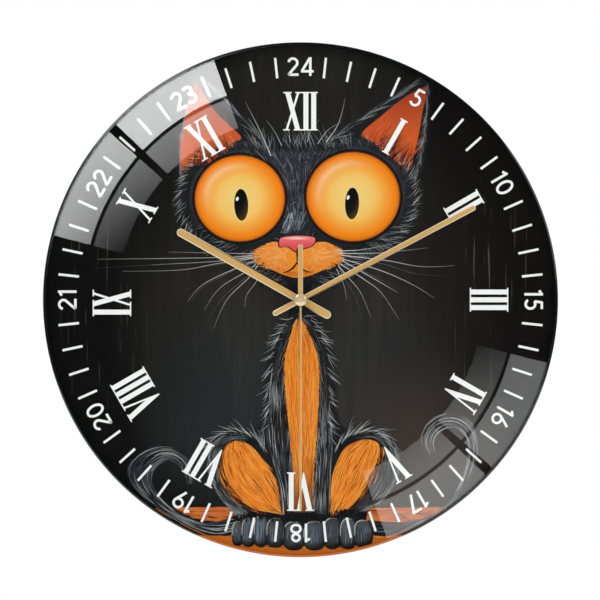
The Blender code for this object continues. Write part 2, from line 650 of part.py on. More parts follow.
cell = lengthwise(turned("battery_cell", [
    (0.0, cell_right + CELL_NUB_LENGTH), (CELL_NUB_RADIUS, cell_right + CELL_NUB_LENGTH),
    (CELL_NUB_RADIUS, cell_right), (CELL_RADIUS - 0.7 * MM, cell_right),
    (CELL_RADIUS, cell_right - 0.7 * MM), (CELL_RADIUS, cell_left + 0.5 * MM),
    (CELL_RADIUS - 0.5 * MM, cell_left), (0.0, cell_left)], cell_wrap, steps=32),
    cell_z, CELL_DEPTH)
contact_x = inner_x - FIT
contact_half = 4.5 * MM
for side, sign in (("positive_contact", 1), ("negative_contact", -1)):
    xs = sorted((sign * contact_x, sign * (contact_x - CONTACT_THICKNESS)))
    plate = box(side, xs[0], xs[1], cell_z - contact_half, PARTITION_TOP + 3 * MM,
                CONTACT_TAB[0], CONTACT_TAB[1], steel)
    gap = (inner_x - FIT - CONTACT_THICKNESS) - (
        cell_right + CELL_NUB_LENGTH if sign > 0 else -cell_left)
    if sign > 0:
        profile = [(0.0, contact_x - CONTACT_THICKNESS + 0.1 * MM),
                   (1.6 * MM, contact_x - CONTACT_THICKNESS + 0.1 * MM),
                   (0.8 * MM, contact_x - CONTACT_THICKNESS - gap + FIT),
                   (0.0, contact_x - CONTACT_THICKNESS - gap + FIT)]
        dimple = lengthwise(turned("positive_dimple", profile, None, steps=16),
                            cell_z, CELL_DEPTH)
    else:
        end = -contact_x + CONTACT_THICKNESS
        turns, coil_points = 3, []
        for i in range(turns * 10 + 1):
            share = i / (turns * 10)
            angle = 2 * math.pi * turns * share
            radius = (3.0 - 1.6 * share) * MM
            reach = end - 0.05 * MM + share * (gap - FIT - 0.25 * MM)
            coil_points.append((reach, -CELL_DEPTH + radius * math.cos(angle),
                                cell_z + radius * math.sin(angle)))
        wire = bpy.data.curves.new("spring_wire", "CURVE")
        wire.dimensions = "3D"
        wire.bevel_depth = 0.22 * MM
        wire.bevel_resolution = 1
        wire.use_fill_caps = True
        thread = wire.splines.new("POLY")
        thread.points.add(len(coil_points) - 1)
        for knot, point in zip(thread.points, coil_points):
            knot.co = (*point, 1.0)
        wire_obj = bpy.data.objects.new("spring_wire", wire)
        parts.objects.link(wire_obj)
        bpy.context.view_layer.update()
        wire_mesh = bpy.data.meshes.new_from_object(
            wire_obj.evaluated_get(bpy.context.evaluated_depsgraph_get()))
        bpy.data.objects.remove(wire_obj, do_unlink=True)
        bm = bmesh.new()
        bm.from_mesh(wire_mesh)
        bmesh.ops.remove_doubles(bm, verts=bm.verts, dist=1e-7)
        bm.to_mesh(wire_mesh)
        bm.free()
        dimple = link(wire_mesh, "negative_spring_wire", None)
    boolean(plate, dimple, "UNION")

# rotor: a magnet and its pinion on one short arbor
ROTOR_MAGNET_R = 2.5 * MM
magnet_back = COIL_DEPTH - 1 * MM
magnet_front = COIL_DEPTH + 1 * MM
rotor_magnet = ring("rotor_magnet", ARBOR_R + RUN, ROTOR_MAGNET_R, magnet_back,
                    magnet_front, magnet, rotor_x, rotor_z, 24)
rotor_pinion = flat("rotor_pinion", [gear(ROTOR_TEETH, ROTOR_MODULE, rotor_phase)],
                    INTER_BACK - LEVEL_GAP, INTER_BACK + WHEEL_THICKNESS + LEVEL_GAP,
                    white, rotor_x, rotor_z)
boolean(rotor_pinion, disc("rotor_arbor", ARBOR_R, COVER_FRONT + FIT,
                           BRIDGE_FRONT - 0.1 * MM, None, rotor_x, rotor_z, 16), "UNION")
group("rotor_axis", [rotor_magnet, rotor_pinion], rotor_x, rotor_z)

# intermediate wheel
inter_wheel = flat("intermediate_wheel", [gear(ROTOR_WHEEL_TEETH, ROTOR_MODULE, inter_phase)],
                   INTER_BACK, INTER_BACK + WHEEL_THICKNESS, white, inter_x, inter_z)
boolean(inter_wheel, flat("intermediate_pinion",
                          [gear(INTER_PINION_TEETH, INTER_MODULE, inter_pinion_phase)],
                          INTER_BACK + WHEEL_THICKNESS / 2,
                          SECOND_WHEEL_BACK + WHEEL_THICKNESS + LEVEL_GAP / 2,
                          None, inter_x, inter_z), "UNION")
boolean(inter_wheel, disc("intermediate_arbor", ARBOR_R, COVER_FRONT + FIT,
                          BRIDGE_FRONT - 0.1 * MM, None, inter_x, inter_z, 16), "UNION")
group("intermediate_axis", [inter_wheel], inter_x, inter_z)

# second wheel with its pinion and long arbor, the second hand and its cap
second_wheel = flat("second_wheel", [gear(SECOND_WHEEL_TEETH, INTER_MODULE, second_phase)],
                    SECOND_WHEEL_BACK, SECOND_WHEEL_BACK + WHEEL_THICKNESS, white)
boolean(second_wheel, flat("second_pinion",
                           [gear(SECOND_PINION_TEETH, THIRD_MODULE, second_pinion_phase)],
                           SECOND_WHEEL_BACK + WHEEL_THICKNESS / 2,
                           THIRD_BACK + WHEEL_THICKNESS + LEVEL_GAP / 2, None), "UNION")
boolean(second_wheel, disc("second_arbor", SECOND_ARBOR_R, COVER_FRONT + FIT,
                           SECOND_ARBOR_FRONT, None, steps=24), "UNION")


def rotate_clockwise(points, degrees):
    """Turn points drawn for a hand at twelve to the hand's angle."""
    turn = -math.radians(degrees)
    c, s = math.cos(turn), math.sin(turn)
    return [(px * c - pz * s, px * s + pz * c) for px, pz in points]


def hand_outline(length, tail, width_tip, width_tail, eye_r, angle, arc=8):
    """A straight hand with rounded ends and a round eye, pointing at an angle."""
    tip, end = width_tip / 2, width_tail / 2
    points = []
    for i in range(arc + 1):
        a = math.pi * i / arc
        points.append((tip * math.cos(a), length - tip + tip * math.sin(a)))
    meet = math.asin(min(tip / eye_r, 0.99))
    meet_tail = math.asin(min(end / eye_r, 0.99))
    for i in range(arc + 1):
        a = math.pi / 2 + meet + (math.pi - meet - meet_tail) * i / arc
        points.append((eye_r * math.cos(a), eye_r * math.sin(a)))
    for i in range(arc + 1):
        a = math.pi + math.pi * i / arc
        points.append((end * math.cos(a), -tail + end + end * math.sin(a)))
    for i in range(arc + 1):
        a = -math.pi / 2 + meet_tail + (math.pi - meet - meet_tail) * i / arc
        points.append((eye_r * math.cos(a), eye_r * math.sin(a)))
    return rotate_clockwise(points, angle)


def hand(name, length, tail, width_tip, width_tail, hole, eye_r, angle, back, front):
    points = hand_outline(length, tail, width_tip, width_tail, eye_r, angle)
    return flat(name, [points, circle(hole, 24)], back, front, gold)


second_hand = hand("second_hand", SECOND_LENGTH, SECOND_TAIL, SECOND_WIDTH,
                   SECOND_TAIL_WIDTH, SECOND_ARBOR_R + RUN, 2.2 * MM, SECOND_ANGLE,
                   SECOND_BACK, SECOND_FRONT)
second_collet = ring("second_collet", SECOND_ARBOR_R + RUN, SECOND_ARBOR_R + 0.8 * MM,
                     SECOND_COLLET_BACK, SECOND_COLLET_FRONT, brass, steps=24)
dome = [(0.0, CAP_BACK + CAP_HEIGHT)]
for i in range(1, 7):
    a = math.pi / 2 * (1 - i / 6)
    dome.append((CAP_RADIUS * math.cos(a), CAP_BACK + 0.5 * MM
                 + (CAP_HEIGHT - 0.5 * MM) * math.sin(a)))
dome += [(CAP_RADIUS, CAP_BACK), (0.0, CAP_BACK)]
second_cap = turned("second_hand_cap", dome, gold, steps=32)
group("second_axis", [second_wheel, second_hand, second_collet, second_cap])

# third wheel
third_wheel = flat("third_wheel", [gear(THIRD_WHEEL_TEETH, THIRD_MODULE, third_phase)],
                   THIRD_BACK, THIRD_BACK + WHEEL_THICKNESS, white, third_x, third_z)
boolean(third_wheel, flat("third_pinion",
                          [gear(THIRD_PINION_TEETH, centre_module, third_pinion_phase)],
                          THIRD_BACK + WHEEL_THICKNESS / 2,
                          CENTRE_BACK + WHEEL_THICKNESS + LEVEL_GAP / 2,
                          None, third_x, third_z), "UNION")
boolean(third_wheel, disc("third_arbor", ARBOR_R, COVER_FRONT + FIT, BRIDGE_FRONT - 0.1 * MM,
                          None, third_x, third_z, 16), "UNION")
group("third_axis", [third_wheel], third_x, third_z)

# centre wheel, loose on the minute pipe, with the clutch spring that presses on it
centre_wheel = flat("centre_wheel", [
    gear(CENTRE_WHEEL_TEETH, centre_module, centre_phase),
    circle(MINUTE_PIPE_R + RUN, 24)], CENTRE_BACK, CENTRE_BACK + WHEEL_THICKNESS, white)
group("centre_axis", [centre_wheel])
clutch_back = CENTRE_BACK - 0.5 * MM
clutch_points = []
for i in range(24):
    a = 2 * math.pi * i / 24
    reach = (4.2 if i % 8 in (0, 1, 2, 3) else 2.6) * MM
    clutch_points.append((reach * math.cos(a), reach * math.sin(a)))
clutch_spring = flat("clutch_spring", [clutch_points, circle(MINUTE_PIPE_R + RUN, 24)],
                     clutch_back, clutch_back + 0.2 * MM, steel)

# cannon pinion: the minute pipe, and the minute hand on its front end
cannon = ring("cannon_pinion", MINUTE_PIPE_IN, MINUTE_PIPE_R, clutch_back - 0.2 * MM,
              MINUTE_PIPE_FRONT, brass, steps=24)
boolean(cannon, flat("cannon_teeth", [
    gear(CANNON_TEETH, MOTION_MODULE, cannon_phase), circle(MINUTE_PIPE_R - 0.3 * MM, 24)],
    MOTION_BACK - LEVEL_GAP / 2, MOTION_BACK + WHEEL_THICKNESS + LEVEL_GAP / 2, None), "UNION")
minute_hand = hand("minute_hand", MINUTE_LENGTH, MINUTE_TAIL, MINUTE_WIDTH, MINUTE_WIDTH,
                   MINUTE_PIPE_R + RUN, MINUTE_PIPE_R + 1.2 * MM, MINUTE_ANGLE,
                   MINUTE_BACK, MINUTE_FRONT)
minute_collet = ring("minute_collet", MINUTE_PIPE_R + RUN, MINUTE_PIPE_R + 1 * MM,
                     MINUTE_COLLET_BACK, MINUTE_COLLET_FRONT, brass, steps=24)
group("minute_axis", [cannon, clutch_spring, minute_hand, minute_collet])

# motion wheel and its pinion, turning on the bridge's post
motion_wheel = flat("motion_wheel", [
    gear(MOTION_WHEEL_TEETH, MOTION_MODULE, motion_phase),
    circle(MOTION_POST_R + RUN, 16)], MOTION_BACK, MOTION_BACK + WHEEL_THICKNESS,
    white, motion_x, motion_z)
boolean(motion_wheel, flat("motion_pinion", [
    gear(MOTION_PINION_TEETH, hour_module, motion_pinion_phase),
    circle(MOTION_POST_R + RUN, 16)], MOTION_BACK + WHEEL_THICKNESS / 2,
    HOUR_WHEEL_FRONT + LEVEL_GAP / 2, None, motion_x, motion_z), "UNION")
group("motion_axis", [motion_wheel], motion_x, motion_z)

# hour wheel with its pipe, and the hour hand
hour_wheel = flat("hour_wheel", [
    gear(HOUR_WHEEL_TEETH, hour_module, hour_phase), circle(HOUR_PIPE_IN, 24)],
    HOUR_WHEEL_BACK, HOUR_WHEEL_FRONT, white)
boolean(hour_wheel, ring("hour_pipe", HOUR_PIPE_IN, HOUR_PIPE_R, HOUR_WHEEL_BACK
                         + WHEEL_THICKNESS / 2, HOUR_PIPE_FRONT, None, steps=24), "UNION")
hour_hand = hand("hour_hand", HOUR_LENGTH, HOUR_TAIL, HOUR_WIDTH, HOUR_WIDTH,
                 HOUR_PIPE_R + RUN, HOUR_PIPE_R + 0.9 * MM, HOUR_ANGLE, HOUR_BACK, HOUR_FRONT)
hour_collet = ring("hour_collet", HOUR_PIPE_R + RUN, HOUR_PIPE_R + 0.8 * MM,
                   HOUR_COLLET_BACK, HOUR_COLLET_FRONT, brass, steps=24)
group("hour_axis", [hour_wheel, hour_hand, hour_collet])

# setting knob, reached through the back cover
knob = disc("setting_knob", KNOB_RADIUS, KNOB_DEPTH, KNOB_DEPTH + KNOB_THICKNESS, white,
            knob_x, knob_z)
knob_front = MOTION_BACK + WHEEL_THICKNESS + LEVEL_GAP / 2
boolean(knob, disc("knob_shaft", KNOB_SHAFT_R, KNOB_DEPTH + KNOB_THICKNESS / 2,
                   FLOOR_DEPTH - FIT, None, knob_x, knob_z, 16), "UNION")
boolean(knob, flat("knob_teeth", [gear(KNOB_TEETH, MOTION_MODULE, knob_phase)],
                   MOTION_BACK - LEVEL_GAP / 2, knob_front, None, knob_x, knob_z), "UNION")
group("knob_axis", [knob], knob_x, knob_z)

bpy.context.view_layer.update()
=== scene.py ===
import json
import math
import random

import bmesh
import bpy
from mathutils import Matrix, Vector


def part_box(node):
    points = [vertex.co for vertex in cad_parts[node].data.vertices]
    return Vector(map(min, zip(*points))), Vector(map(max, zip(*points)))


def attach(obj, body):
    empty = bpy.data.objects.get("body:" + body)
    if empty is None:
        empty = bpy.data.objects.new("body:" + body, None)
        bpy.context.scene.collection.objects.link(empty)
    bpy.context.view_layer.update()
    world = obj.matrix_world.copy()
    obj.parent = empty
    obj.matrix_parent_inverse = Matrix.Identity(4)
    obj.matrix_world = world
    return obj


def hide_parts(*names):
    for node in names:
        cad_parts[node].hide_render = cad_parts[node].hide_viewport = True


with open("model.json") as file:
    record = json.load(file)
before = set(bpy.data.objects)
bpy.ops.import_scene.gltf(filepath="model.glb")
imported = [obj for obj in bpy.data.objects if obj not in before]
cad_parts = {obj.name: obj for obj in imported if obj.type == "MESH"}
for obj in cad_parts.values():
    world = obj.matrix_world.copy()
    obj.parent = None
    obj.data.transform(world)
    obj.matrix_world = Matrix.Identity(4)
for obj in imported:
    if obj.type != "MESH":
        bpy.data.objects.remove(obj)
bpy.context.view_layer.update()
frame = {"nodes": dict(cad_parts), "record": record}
nodes = frame["nodes"]
mm = 0.001
print("frame loaded:", len(nodes), "nodes")


def near(node):
    # depth of a node's face nearest the viewer, and of its face nearest the wall
    low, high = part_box(node)
    return -low[1], -high[1]


def addObject(name, data):
    item = bpy.data.objects.new(name, data)
    bpy.context.scene.collection.objects.link(item)
    return item


def srgb(r, g, b):
    # linear colour from display values of 0 to 255, by the display standard's own curve
    def one(v):
        v /= 255
        return v / 12.92 if v <= 0.04045 else ((v + 0.055) / 1.055) ** 2.4
    return (one(r), one(g), one(b))


class Socket:
    # a node's output; sums and products with it add their nodes
    def __init__(self, tree, socket):
        self.tree = tree
        self.socket = socket

    def maths(self, operation, *items):
        node = self.tree.nodes.new("ShaderNodeMath")
        node.operation = operation
        for slot, item in zip(node.inputs, items):
            feed(self.tree, slot, item)
        return Socket(self.tree, node.outputs[0])

    def __add__(self, other):
        return self.maths("ADD", self, other)

    def __radd__(self, other):
        return self.maths("ADD", other, self)

    def __sub__(self, other):
        return self.maths("SUBTRACT", self, other)

    def __rsub__(self, other):
        return self.maths("SUBTRACT", other, self)

    def __mul__(self, other):
        return self.maths("MULTIPLY", self, other)

    def __rmul__(self, other):
        return self.maths("MULTIPLY", other, self)

    def __truediv__(self, other):
        return self.maths("DIVIDE", self, other)

    def __pow__(self, other):
        return self.maths("POWER", self, other)

    def atLeast(self, other):
        return self.maths("MAXIMUM", self, other)

    def atMost(self, other):
        return self.maths("MINIMUM", self, other)

    def above(self, edge, soft):
        # 0 below edge, 1 above edge + soft
        return ((self - edge) / soft).clamp()

    def clamp(self):
        return self.atLeast(0.0).atMost(1.0)

    def size(self):
        return self.maths("ABSOLUTE", self)


def feed(tree, slot, item):
    if isinstance(item, Socket):
        tree.links.new(item.socket, slot)
    elif slot.type == "RGBA" and len(item) == 3:
        slot.default_value = (*item, 1.0)
    else:
        slot.default_value = item


class Finish:
    # a material, with one method for each kind of node that the pieces share
    def __init__(self, name, fixed=None):
        self.material = bpy.data.materials.new(name)
        self.material.use_nodes = True
        self.tree = self.material.node_tree
        self.tree.nodes.clear()
        self.end = self.tree.nodes.new("ShaderNodeOutputMaterial")
        if fixed is not None:
            self.shader = self.tree.nodes.new("ShaderNodeBsdfPrincipled")
            self.tree.links.new(self.shader.outputs[0], self.end.inputs[0])
            self.set(fixed)

    def set(self, values):
        for key, item in values.items():
            feed(self.tree, self.shader.inputs[key], item)
        return self

    def add(self, kind, settings=None, sockets=None, output=0):
        node = self.tree.nodes.new("ShaderNode" + kind)
        for key, item in (settings or {}).items():
            setattr(node, key, item)
        for key, item in (sockets or {}).items():
            feed(self.tree, node.inputs[key], item)
        return Socket(self.tree, node.outputs[output])

    def place(self, stretch=(1, 1, 1)):
        at = self.add("TexCoord", output="Object")
        if stretch == (1, 1, 1):
            return at
        return self.add("Mapping", sockets={"Vector": at, "Scale": stretch})

    def axes(self):
        split = self.add("SeparateXYZ", sockets={"Vector": self.place()})
        outputs = split.socket.node.outputs
        return [Socket(self.tree, outputs[i]) for i in range(3)]

    def noise(self, scale, detail=3.0, stretch=(1, 1, 1), rough=0.55):
        return self.add("TexNoise", sockets={"Vector": self.place(stretch), "Scale": scale,
                                             "Detail": detail, "Roughness": rough})

    def mix(self, share, first, second, blend="MIX"):
        node = self.tree.nodes.new("ShaderNodeMix")
        node.data_type = "RGBA"
        node.blend_type = blend
        feed(self.tree, node.inputs["Factor"], share)
        feed(self.tree, node.inputs[6], first)
        feed(self.tree, node.inputs[7], second)
        return Socket(self.tree, node.outputs[2])

    def bump(self, height, distance, strength=1.0):
        return self.add("Bump", sockets={"Height": height, "Distance": distance,
                                         "Strength": strength})


def meshFrom(name, bm, finishes):
    mesh = bpy.data.meshes.new(name)
    bm.to_mesh(mesh)
    bm.free()
    for finish in finishes:
        mesh.materials.append(finish.material)
    return mesh


def finishMesh(name, bm, finishes, body, replaced, smooth=30):
    # smooth is the angle in degrees up to which an edge is shaded round
    mesh = meshFrom(name, bm, finishes)
    mesh.shade_smooth()
    mesh.set_sharp_from_angle(angle=math.radians(smooth))
    piece = addObject(name, mesh)
    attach(piece, body)
    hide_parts(replaced)


def spin(profile, steps, axis="Y", centre=(0, 0, 0), closed=True):
    # turns a ring of (radius, along) pairs about an axis through centre
    bm = bmesh.new()
    rings = []
    for radius, along in profile:
        ring = []
        for i in range(1 if radius < 1e-9 else steps):
            a = 2 * math.pi * i / steps
            u, v = radius * math.cos(a), radius * math.sin(a)
            spot = {"Y": (u, along, v), "Z": (u, v, along), "X": (along, u, v)}[axis]
            ring.append(bm.verts.new([c + s for c, s in zip(centre, spot)]))
        rings.append(ring)
    pairs = list(zip(rings, rings[1:]))
    if closed:
        pairs.append((rings[-1], rings[0]))
    for first, second in pairs:
        if len(first) == 1 and len(second) == 1:
            continue
        for i in range(steps):
            j = (i + 1) % steps
            corners = [first[i % len(first)], first[j % len(first)],
                       second[j % len(second)], second[i % len(second)]]
            kept = []
            for corner in corners:
                if corner not in kept:
                    kept.append(corner)
            bm.faces.new(kept)
    bmesh.ops.recalc_face_normals(bm, faces=bm.faces)
    return bm


# the dial's ink, in flat levels of which a higher one lies nearer the viewer; places are in mm
# from the hand axis, with x to the right and z up
printBack = near("print_film")[1]
inkStep = 0.01 * mm
inkRim = 148.2    # strokes that would pass this radius are left out
# the levels: -1 backing, 1 backdrop, 4 to 7 ground, 7 to 16 tails, 10 to 13 the fur's masses,
# 14 to 31 face and body, 30 to 42 paws, 43 to 44 whiskers, 50 to 58 numerals


class Ink:
    # flat shapes of ink with a colour at each point
    def __init__(self):
        self.spots = []
        self.colours = []
        self.faces = []

    def spot(self, x, z, level, colour):
        self.spots.append((x * mm, -(printBack + level * inkStep), z * mm))
        self.colours.append(colour)
        return len(self.spots) - 1

    def shape(self, outline, level, colour):
        # a filled outline, fanned from its middle; colour may be a function of (x, z)
        pick = colour if callable(colour) else (lambda x, z: colour)
        middleX = sum(p[0] for p in outline) / len(outline)
        middleZ = sum(p[1] for p in outline) / len(outline)
        middle = self.spot(middleX, middleZ, level, pick(middleX, middleZ))
        edge = [self.spot(x, z, level, pick(x, z)) for x, z in outline]
        for i, a in enumerate(edge):
            self.faces.append((middle, a, edge[(i + 1) % len(edge)]))

    def quad(self, corners, level, colour):
        self.faces.append([self.spot(x, z, level, colour) for x, z in corners])

    def oval(self, centre, radii, level, shade, rings, steps, tilt=0.0, reachAt=None):
        # a filled oval whose colour is shade(share of radius, angle); reachAt(angle) squares it off
        c, s = math.cos(math.radians(tilt)), math.sin(math.radians(tilt))
        before = [self.spot(*centre, level, shade(0.0, 0.0))] * steps
        for ring in range(1, rings + 1):
            share = ring / rings
            row = []
            for i in range(steps):
                a = 2 * math.pi * i / steps
                reach = share * (reachAt(a) if reachAt else 1.0)
                u, v = radii[0] * reach * math.cos(a), radii[1] * reach * math.sin(a)
                row.append(self.spot(centre[0] + u * c - v * s, centre[1] + u * s + v * c,
                                     level, shade(share, a)))
            for i in range(steps):
                j = (i + 1) % steps
                if ring == 1:
                    self.faces.append((before[0], row[i], row[j]))
                else:
                    self.faces.append((before[i], row[i], row[j], before[j]))
            before = row

    def stroke(self, path, widths, level, colours):
        # a ribbon along path, left out where it would run off the print
        if any(math.hypot(x, z) > inkRim for x, z in path):
            return
        count = len(path)
        sides = []
        for i, (x, z) in enumerate(path):
            x0, z0 = path[max(i - 1, 0)]
            x1, z1 = path[min(i + 1, count - 1)]
            run = math.hypot(x1 - x0, z1 - z0) or 1.0
            nx, nz = -(z1 - z0) / run, (x1 - x0) / run
            share = i / (count - 1)
            half = widths(share) / 2
            colour = tuple(a + (b - a) * share for a, b in zip(colours[0], colours[1]))
            sides.append((self.spot(x + nx * half, z + nz * half, level, colour),
                          self.spot(x - nx * half, z - nz * half, level, colour)))
        for (a, b), (c, d) in zip(sides, sides[1:]):
            self.faces.append((a, b, d, c))

    def piece(self, name, finish, replaced=None):
        mesh = bpy.data.meshes.new(name)
        mesh.from_pydata(self.spots, [], self.faces)
        layer = mesh.color_attributes.new("ink", "FLOAT_COLOR", "POINT")
        for item, colour in zip(layer.data, self.colours):
            item.color = (*colour, 1.0)
        mesh.materials.append(finish.material)
        bm = bmesh.new()
        bm.from_mesh(mesh)
        for face in bm.faces:
            face.normal_update()
            if face.normal.y > 0:
                face.normal_flip()
        bm.to_mesh(mesh)
        bm.free()
        piece = addObject(name, mesh)
        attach(piece, "clock_body")
        if replaced:
            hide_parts(replaced)
        print("ink piece", name, len(self.faces), "faces")


hairShape = {"fullest": 0.3, "steps": 5, "levelStep": 0.5}


def taper(start, middle, end):
    # width along a hair: thin root, full body, fine tip
    fullest = hairShape["fullest"]

    def width(share):
        if share < fullest:
            return start + (middle - start) * share / fullest
        return middle + (end - middle) * (share - fullest) / (1 - fullest)
    return width


def curve(points, count=10):
    # smooth path through points (Catmull-Rom)
    path = []
    ends = [points[0]] + list(points) + [points[-1]]
    for k in range(1, len(ends) - 2):
        p0, p1, p2, p3 = ends[k - 1:k + 3]
        for i in range(count):
            t = i / count
            path.append(tuple(
                0.5 * (2 * b + (c - a) * t + (2 * a - 5 * b + 4 * c - d) * t * t
                       + (3 * b - a - 3 * c + d) * t ** 3)
                for a, b, c, d in zip(p0, p1, p2, p3)))
    path.append(tuple(points[-1]))
    return path


def walk(path, share):
    # place and direction at a share of a path's length
    runs = [math.dist(a, b) for a, b in zip(path, path[1:])]
    left = share * sum(runs)
    for (a, b), run in zip(zip(path, path[1:]), runs):
        if left <= run or (a, b) == (path[-2], path[-1]):
            t = min(left / run, 1.0) if run else 0.0
            turn = math.atan2(b[1] - a[1], b[0] - a[0])
            return a[0] + (b[0] - a[0]) * t, a[1] + (b[1] - a[1]) * t, turn
        left -= run


def blendColour(a, b, t):
    return tuple(p + (q - p) * t for p, q in zip(a, b))


def hairs(ink, guide, count, length, lean, bend, width, colours, level, seed, depth=0.0,
          spread=14, levels=6):
    # tapered hairs rooted along a guide, up to depth behind it; lean and spread are degrees from
    # the guide's direction, bend is how far each curls, and colours are two roots and a tip
    dice = random.Random(seed)
    for _ in range(count):
        x, z, turn = walk(guide, dice.random())
        inward = dice.uniform(0, depth)
        angle = turn + math.radians(lean + dice.uniform(-spread, spread))
        x -= inward * math.cos(angle)
        z -= inward * math.sin(angle)
        reach = length * dice.uniform(0.55, 1.15)
        curl = math.radians(bend * dice.uniform(0.4, 1.6))
        path = []
        for _ in range(hairShape["steps"] + 1):
            path.append((x, z))
            x += reach / hairShape["steps"] * math.cos(angle)
            z += reach / hairShape["steps"] * math.sin(angle)
            angle += curl / hairShape["steps"]
        thick = width * dice.uniform(0.6, 1.25)
        root = blendColour(colours[0], colours[1], dice.random())
        tip = blendColour(root, colours[2], 0.7)
        ink.stroke(path, taper(thick * 0.5, thick, thick * 0.12),
                   level + dice.random() * levels * hairShape["levelStep"], (root, tip))


def evenly(path, count=80):
    # the path again, as points the same distance apart
    runs = [math.dist(a, b) for a, b in zip(path, path[1:])]
    gap, spots, k, passed = sum(runs) / (count - 1), [], 0, 0.0
    for i in range(count):
        while k < len(runs) - 1 and passed + runs[k] < gap * i:
            passed += runs[k]
            k += 1
        t = min(max((gap * i - passed) / runs[k], 0.0), 1.0) if runs[k] else 0.0
        spots.append((path[k][0] + (path[k + 1][0] - path[k][0]) * t,
                      path[k][1] + (path[k + 1][1] - path[k][1]) * t))
    return spots


def between(first, second):
    # place at a share across (0 first, 1 second) and a share along two smooth edges
    one, two = evenly(curve(first, 8)), evenly(curve(second, 8))

    def at(across, run):
        place = min(max(run, 0.0), 1.0) * (len(one) - 1)
        i = min(int(place), len(one) - 2)
        t = place - i
        a = blendColour(one[i], one[i + 1], t)
        b = blendColour(two[i], two[i + 1], t)
        return blendColour(a, b, across)
    return at


def comb(ink, first, second, count, reach, width, tones, level, seed, levels=6, drift=0.06,
         across=(0.0, 1.0), along=(0.0, 1.0)):
    # strokes that follow the flow between two edges, each reach of the way along them;
    # tones(across, run, dice) gives root and tip
    at = between(first, second)
    dice = random.Random(seed)
    for _ in range(count):
        u = dice.uniform(*across)
        run = dice.uniform(along[0] - 0.3 * reach, along[1] - 0.5 * reach)
        long, turn = reach * dice.uniform(0.5, 1.2), dice.uniform(-drift, drift)
        start = run if run >= 0 and run + long <= 1 else min(max(run, 0), 1 - long)
        path = [at(u + turn * t, start + long * t) for t in (0, 0.2, 0.4, 0.6, 0.8, 1)]
        thick = width * dice.uniform(0.5, 1.3)
        ink.stroke(path, taper(thick * 0.3, thick, thick * 0.12),
                   level + dice.random() * levels * hairShape["levelStep"], tones(u, run, dice))


def choice(*pairs):
    # picks one of several (root, tip) colour pairs at random
    return lambda u, run, dice: pairs[dice.randrange(len(pairs))]


inkFinish = Finish("printedInk", {"Specular IOR Level": 0.12})
inkTone = inkFinish.add("VertexColor", {"layer_name": "ink"})
inkGrain = inkFinish.noise(900.0, 4.0, (1.0, 1.0, 0.35))
inkFinish.set({
    "Base Color": inkFinish.mix(inkGrain.above(0.35, 0.5) * 0.10, inkTone,
                                inkFinish.mix(1.0, inkTone, (0.72, 0.70, 0.70), "MULTIPLY")),
    "Roughness": 0.46 + 0.12 * inkFinish.noise(350.0, 2.0)})

whiteInk = Finish("whiteInk", {"Base Color": (0.97, 0.97, 0.97), "Specular IOR Level": 0.3})
whiteInk.set({"Roughness": 0.34 + 0.14 * whiteInk.noise(500.0, 3.0)})

# painted backdrop behind the cat: dark at the rim, charcoal in the middle, brushed downwards;
# its finish works in metres
paint = {"radius": 148.5, "hole": 3.8, "rings": 48, "steps": 256}
glowHalf = (0.105, 0.135)    # half width and half height of the paler middle
backdrop = Finish("paintedBackdrop", {"Specular IOR Level": 0.12})
px, _, pz = backdrop.axes()
wide = backdrop.noise(14.0, 3.0, (1.0, 1.0, 0.45))
streaks = backdrop.noise(60.0, 5.0, (3.2, 1.0, 0.22), 0.7)
fine = backdrop.noise(240.0, 4.0, (3.0, 1.0, 0.12), 0.75)
middle = 1.0 - ((px * px) / glowHalf[0] ** 2
                + ((pz + 0.01) * (pz + 0.01)) / glowHalf[1] ** 2) ** 0.5
upper = (pz - 0.08).above(0.0, 0.05) * (0.09 - px.size()).above(0.0, 0.06)
glow = (middle + 0.5 * (wide - 0.5) + 0.35 * upper).above(-0.12, 0.75)
base = backdrop.mix(glow, srgb(8, 6, 6), srgb(43, 41, 39))
cool = ((0.06 - pz).above(0.06, 0.08) * (pz + 0.125).above(0.0, 0.05)
        * (0.1 - px.size()).above(0.0, 0.05))
base = backdrop.mix(cool * 0.75, base, srgb(36, 44, 48))
base = backdrop.mix((streaks.above(0.42, 0.35) * glow) * 0.6, base, srgb(60, 56, 53))
base = backdrop.mix(fine.above(0.60, 0.2) * 0.3, base, srgb(9, 8, 8))
ruddy = (px - 0.055).above(0.0, 0.05) * (pz + 0.06).above(0.0, 0.06)
base = backdrop.mix(ruddy * 0.6, base, srgb(20, 7, 6))
scratch = backdrop.noise(420.0, 2.0, (2.6, 1.0, 0.05), 0.5)
edge = ((px.size() - 0.085).above(0.0, 0.02) * (0.145 - px.size()).above(0.0, 0.02)
        * (0.075 - pz.size()).above(0.0, 0.03))
base = backdrop.mix(scratch.above(0.66, 0.06) * edge * 0.5, base, srgb(120, 112, 108))
warmAway = (((px - 0.066) * (px - 0.066) + (pz + 0.088) * (pz + 0.088)) ** 0.5) / 0.062
base = backdrop.mix((1.0 - warmAway).clamp() * 0.75, base, srgb(74, 58, 50))
backdrop.set({"Base Color": base, "Roughness": 0.5 + 0.12 * streaks})


def coat(level, rings):
    # a flat ring of ink as wide as the print
    sheet = Ink()
    rows = []
    for ring in range(rings + 1):
        reach = paint["hole"] + (paint["radius"] - paint["hole"]) * ring / rings
        rows.append([sheet.spot(reach * math.cos(2 * math.pi * i / paint["steps"]),
                                reach * math.sin(2 * math.pi * i / paint["steps"]),
                                level, (0.03, 0.03, 0.03)) for i in range(paint["steps"])])
    for inner, outer in zip(rows, rows[1:]):
        for i in range(paint["steps"]):
            j = (i + 1) % paint["steps"]
            sheet.faces.append((inner[i], outer[i], outer[j], inner[j]))
    return sheet


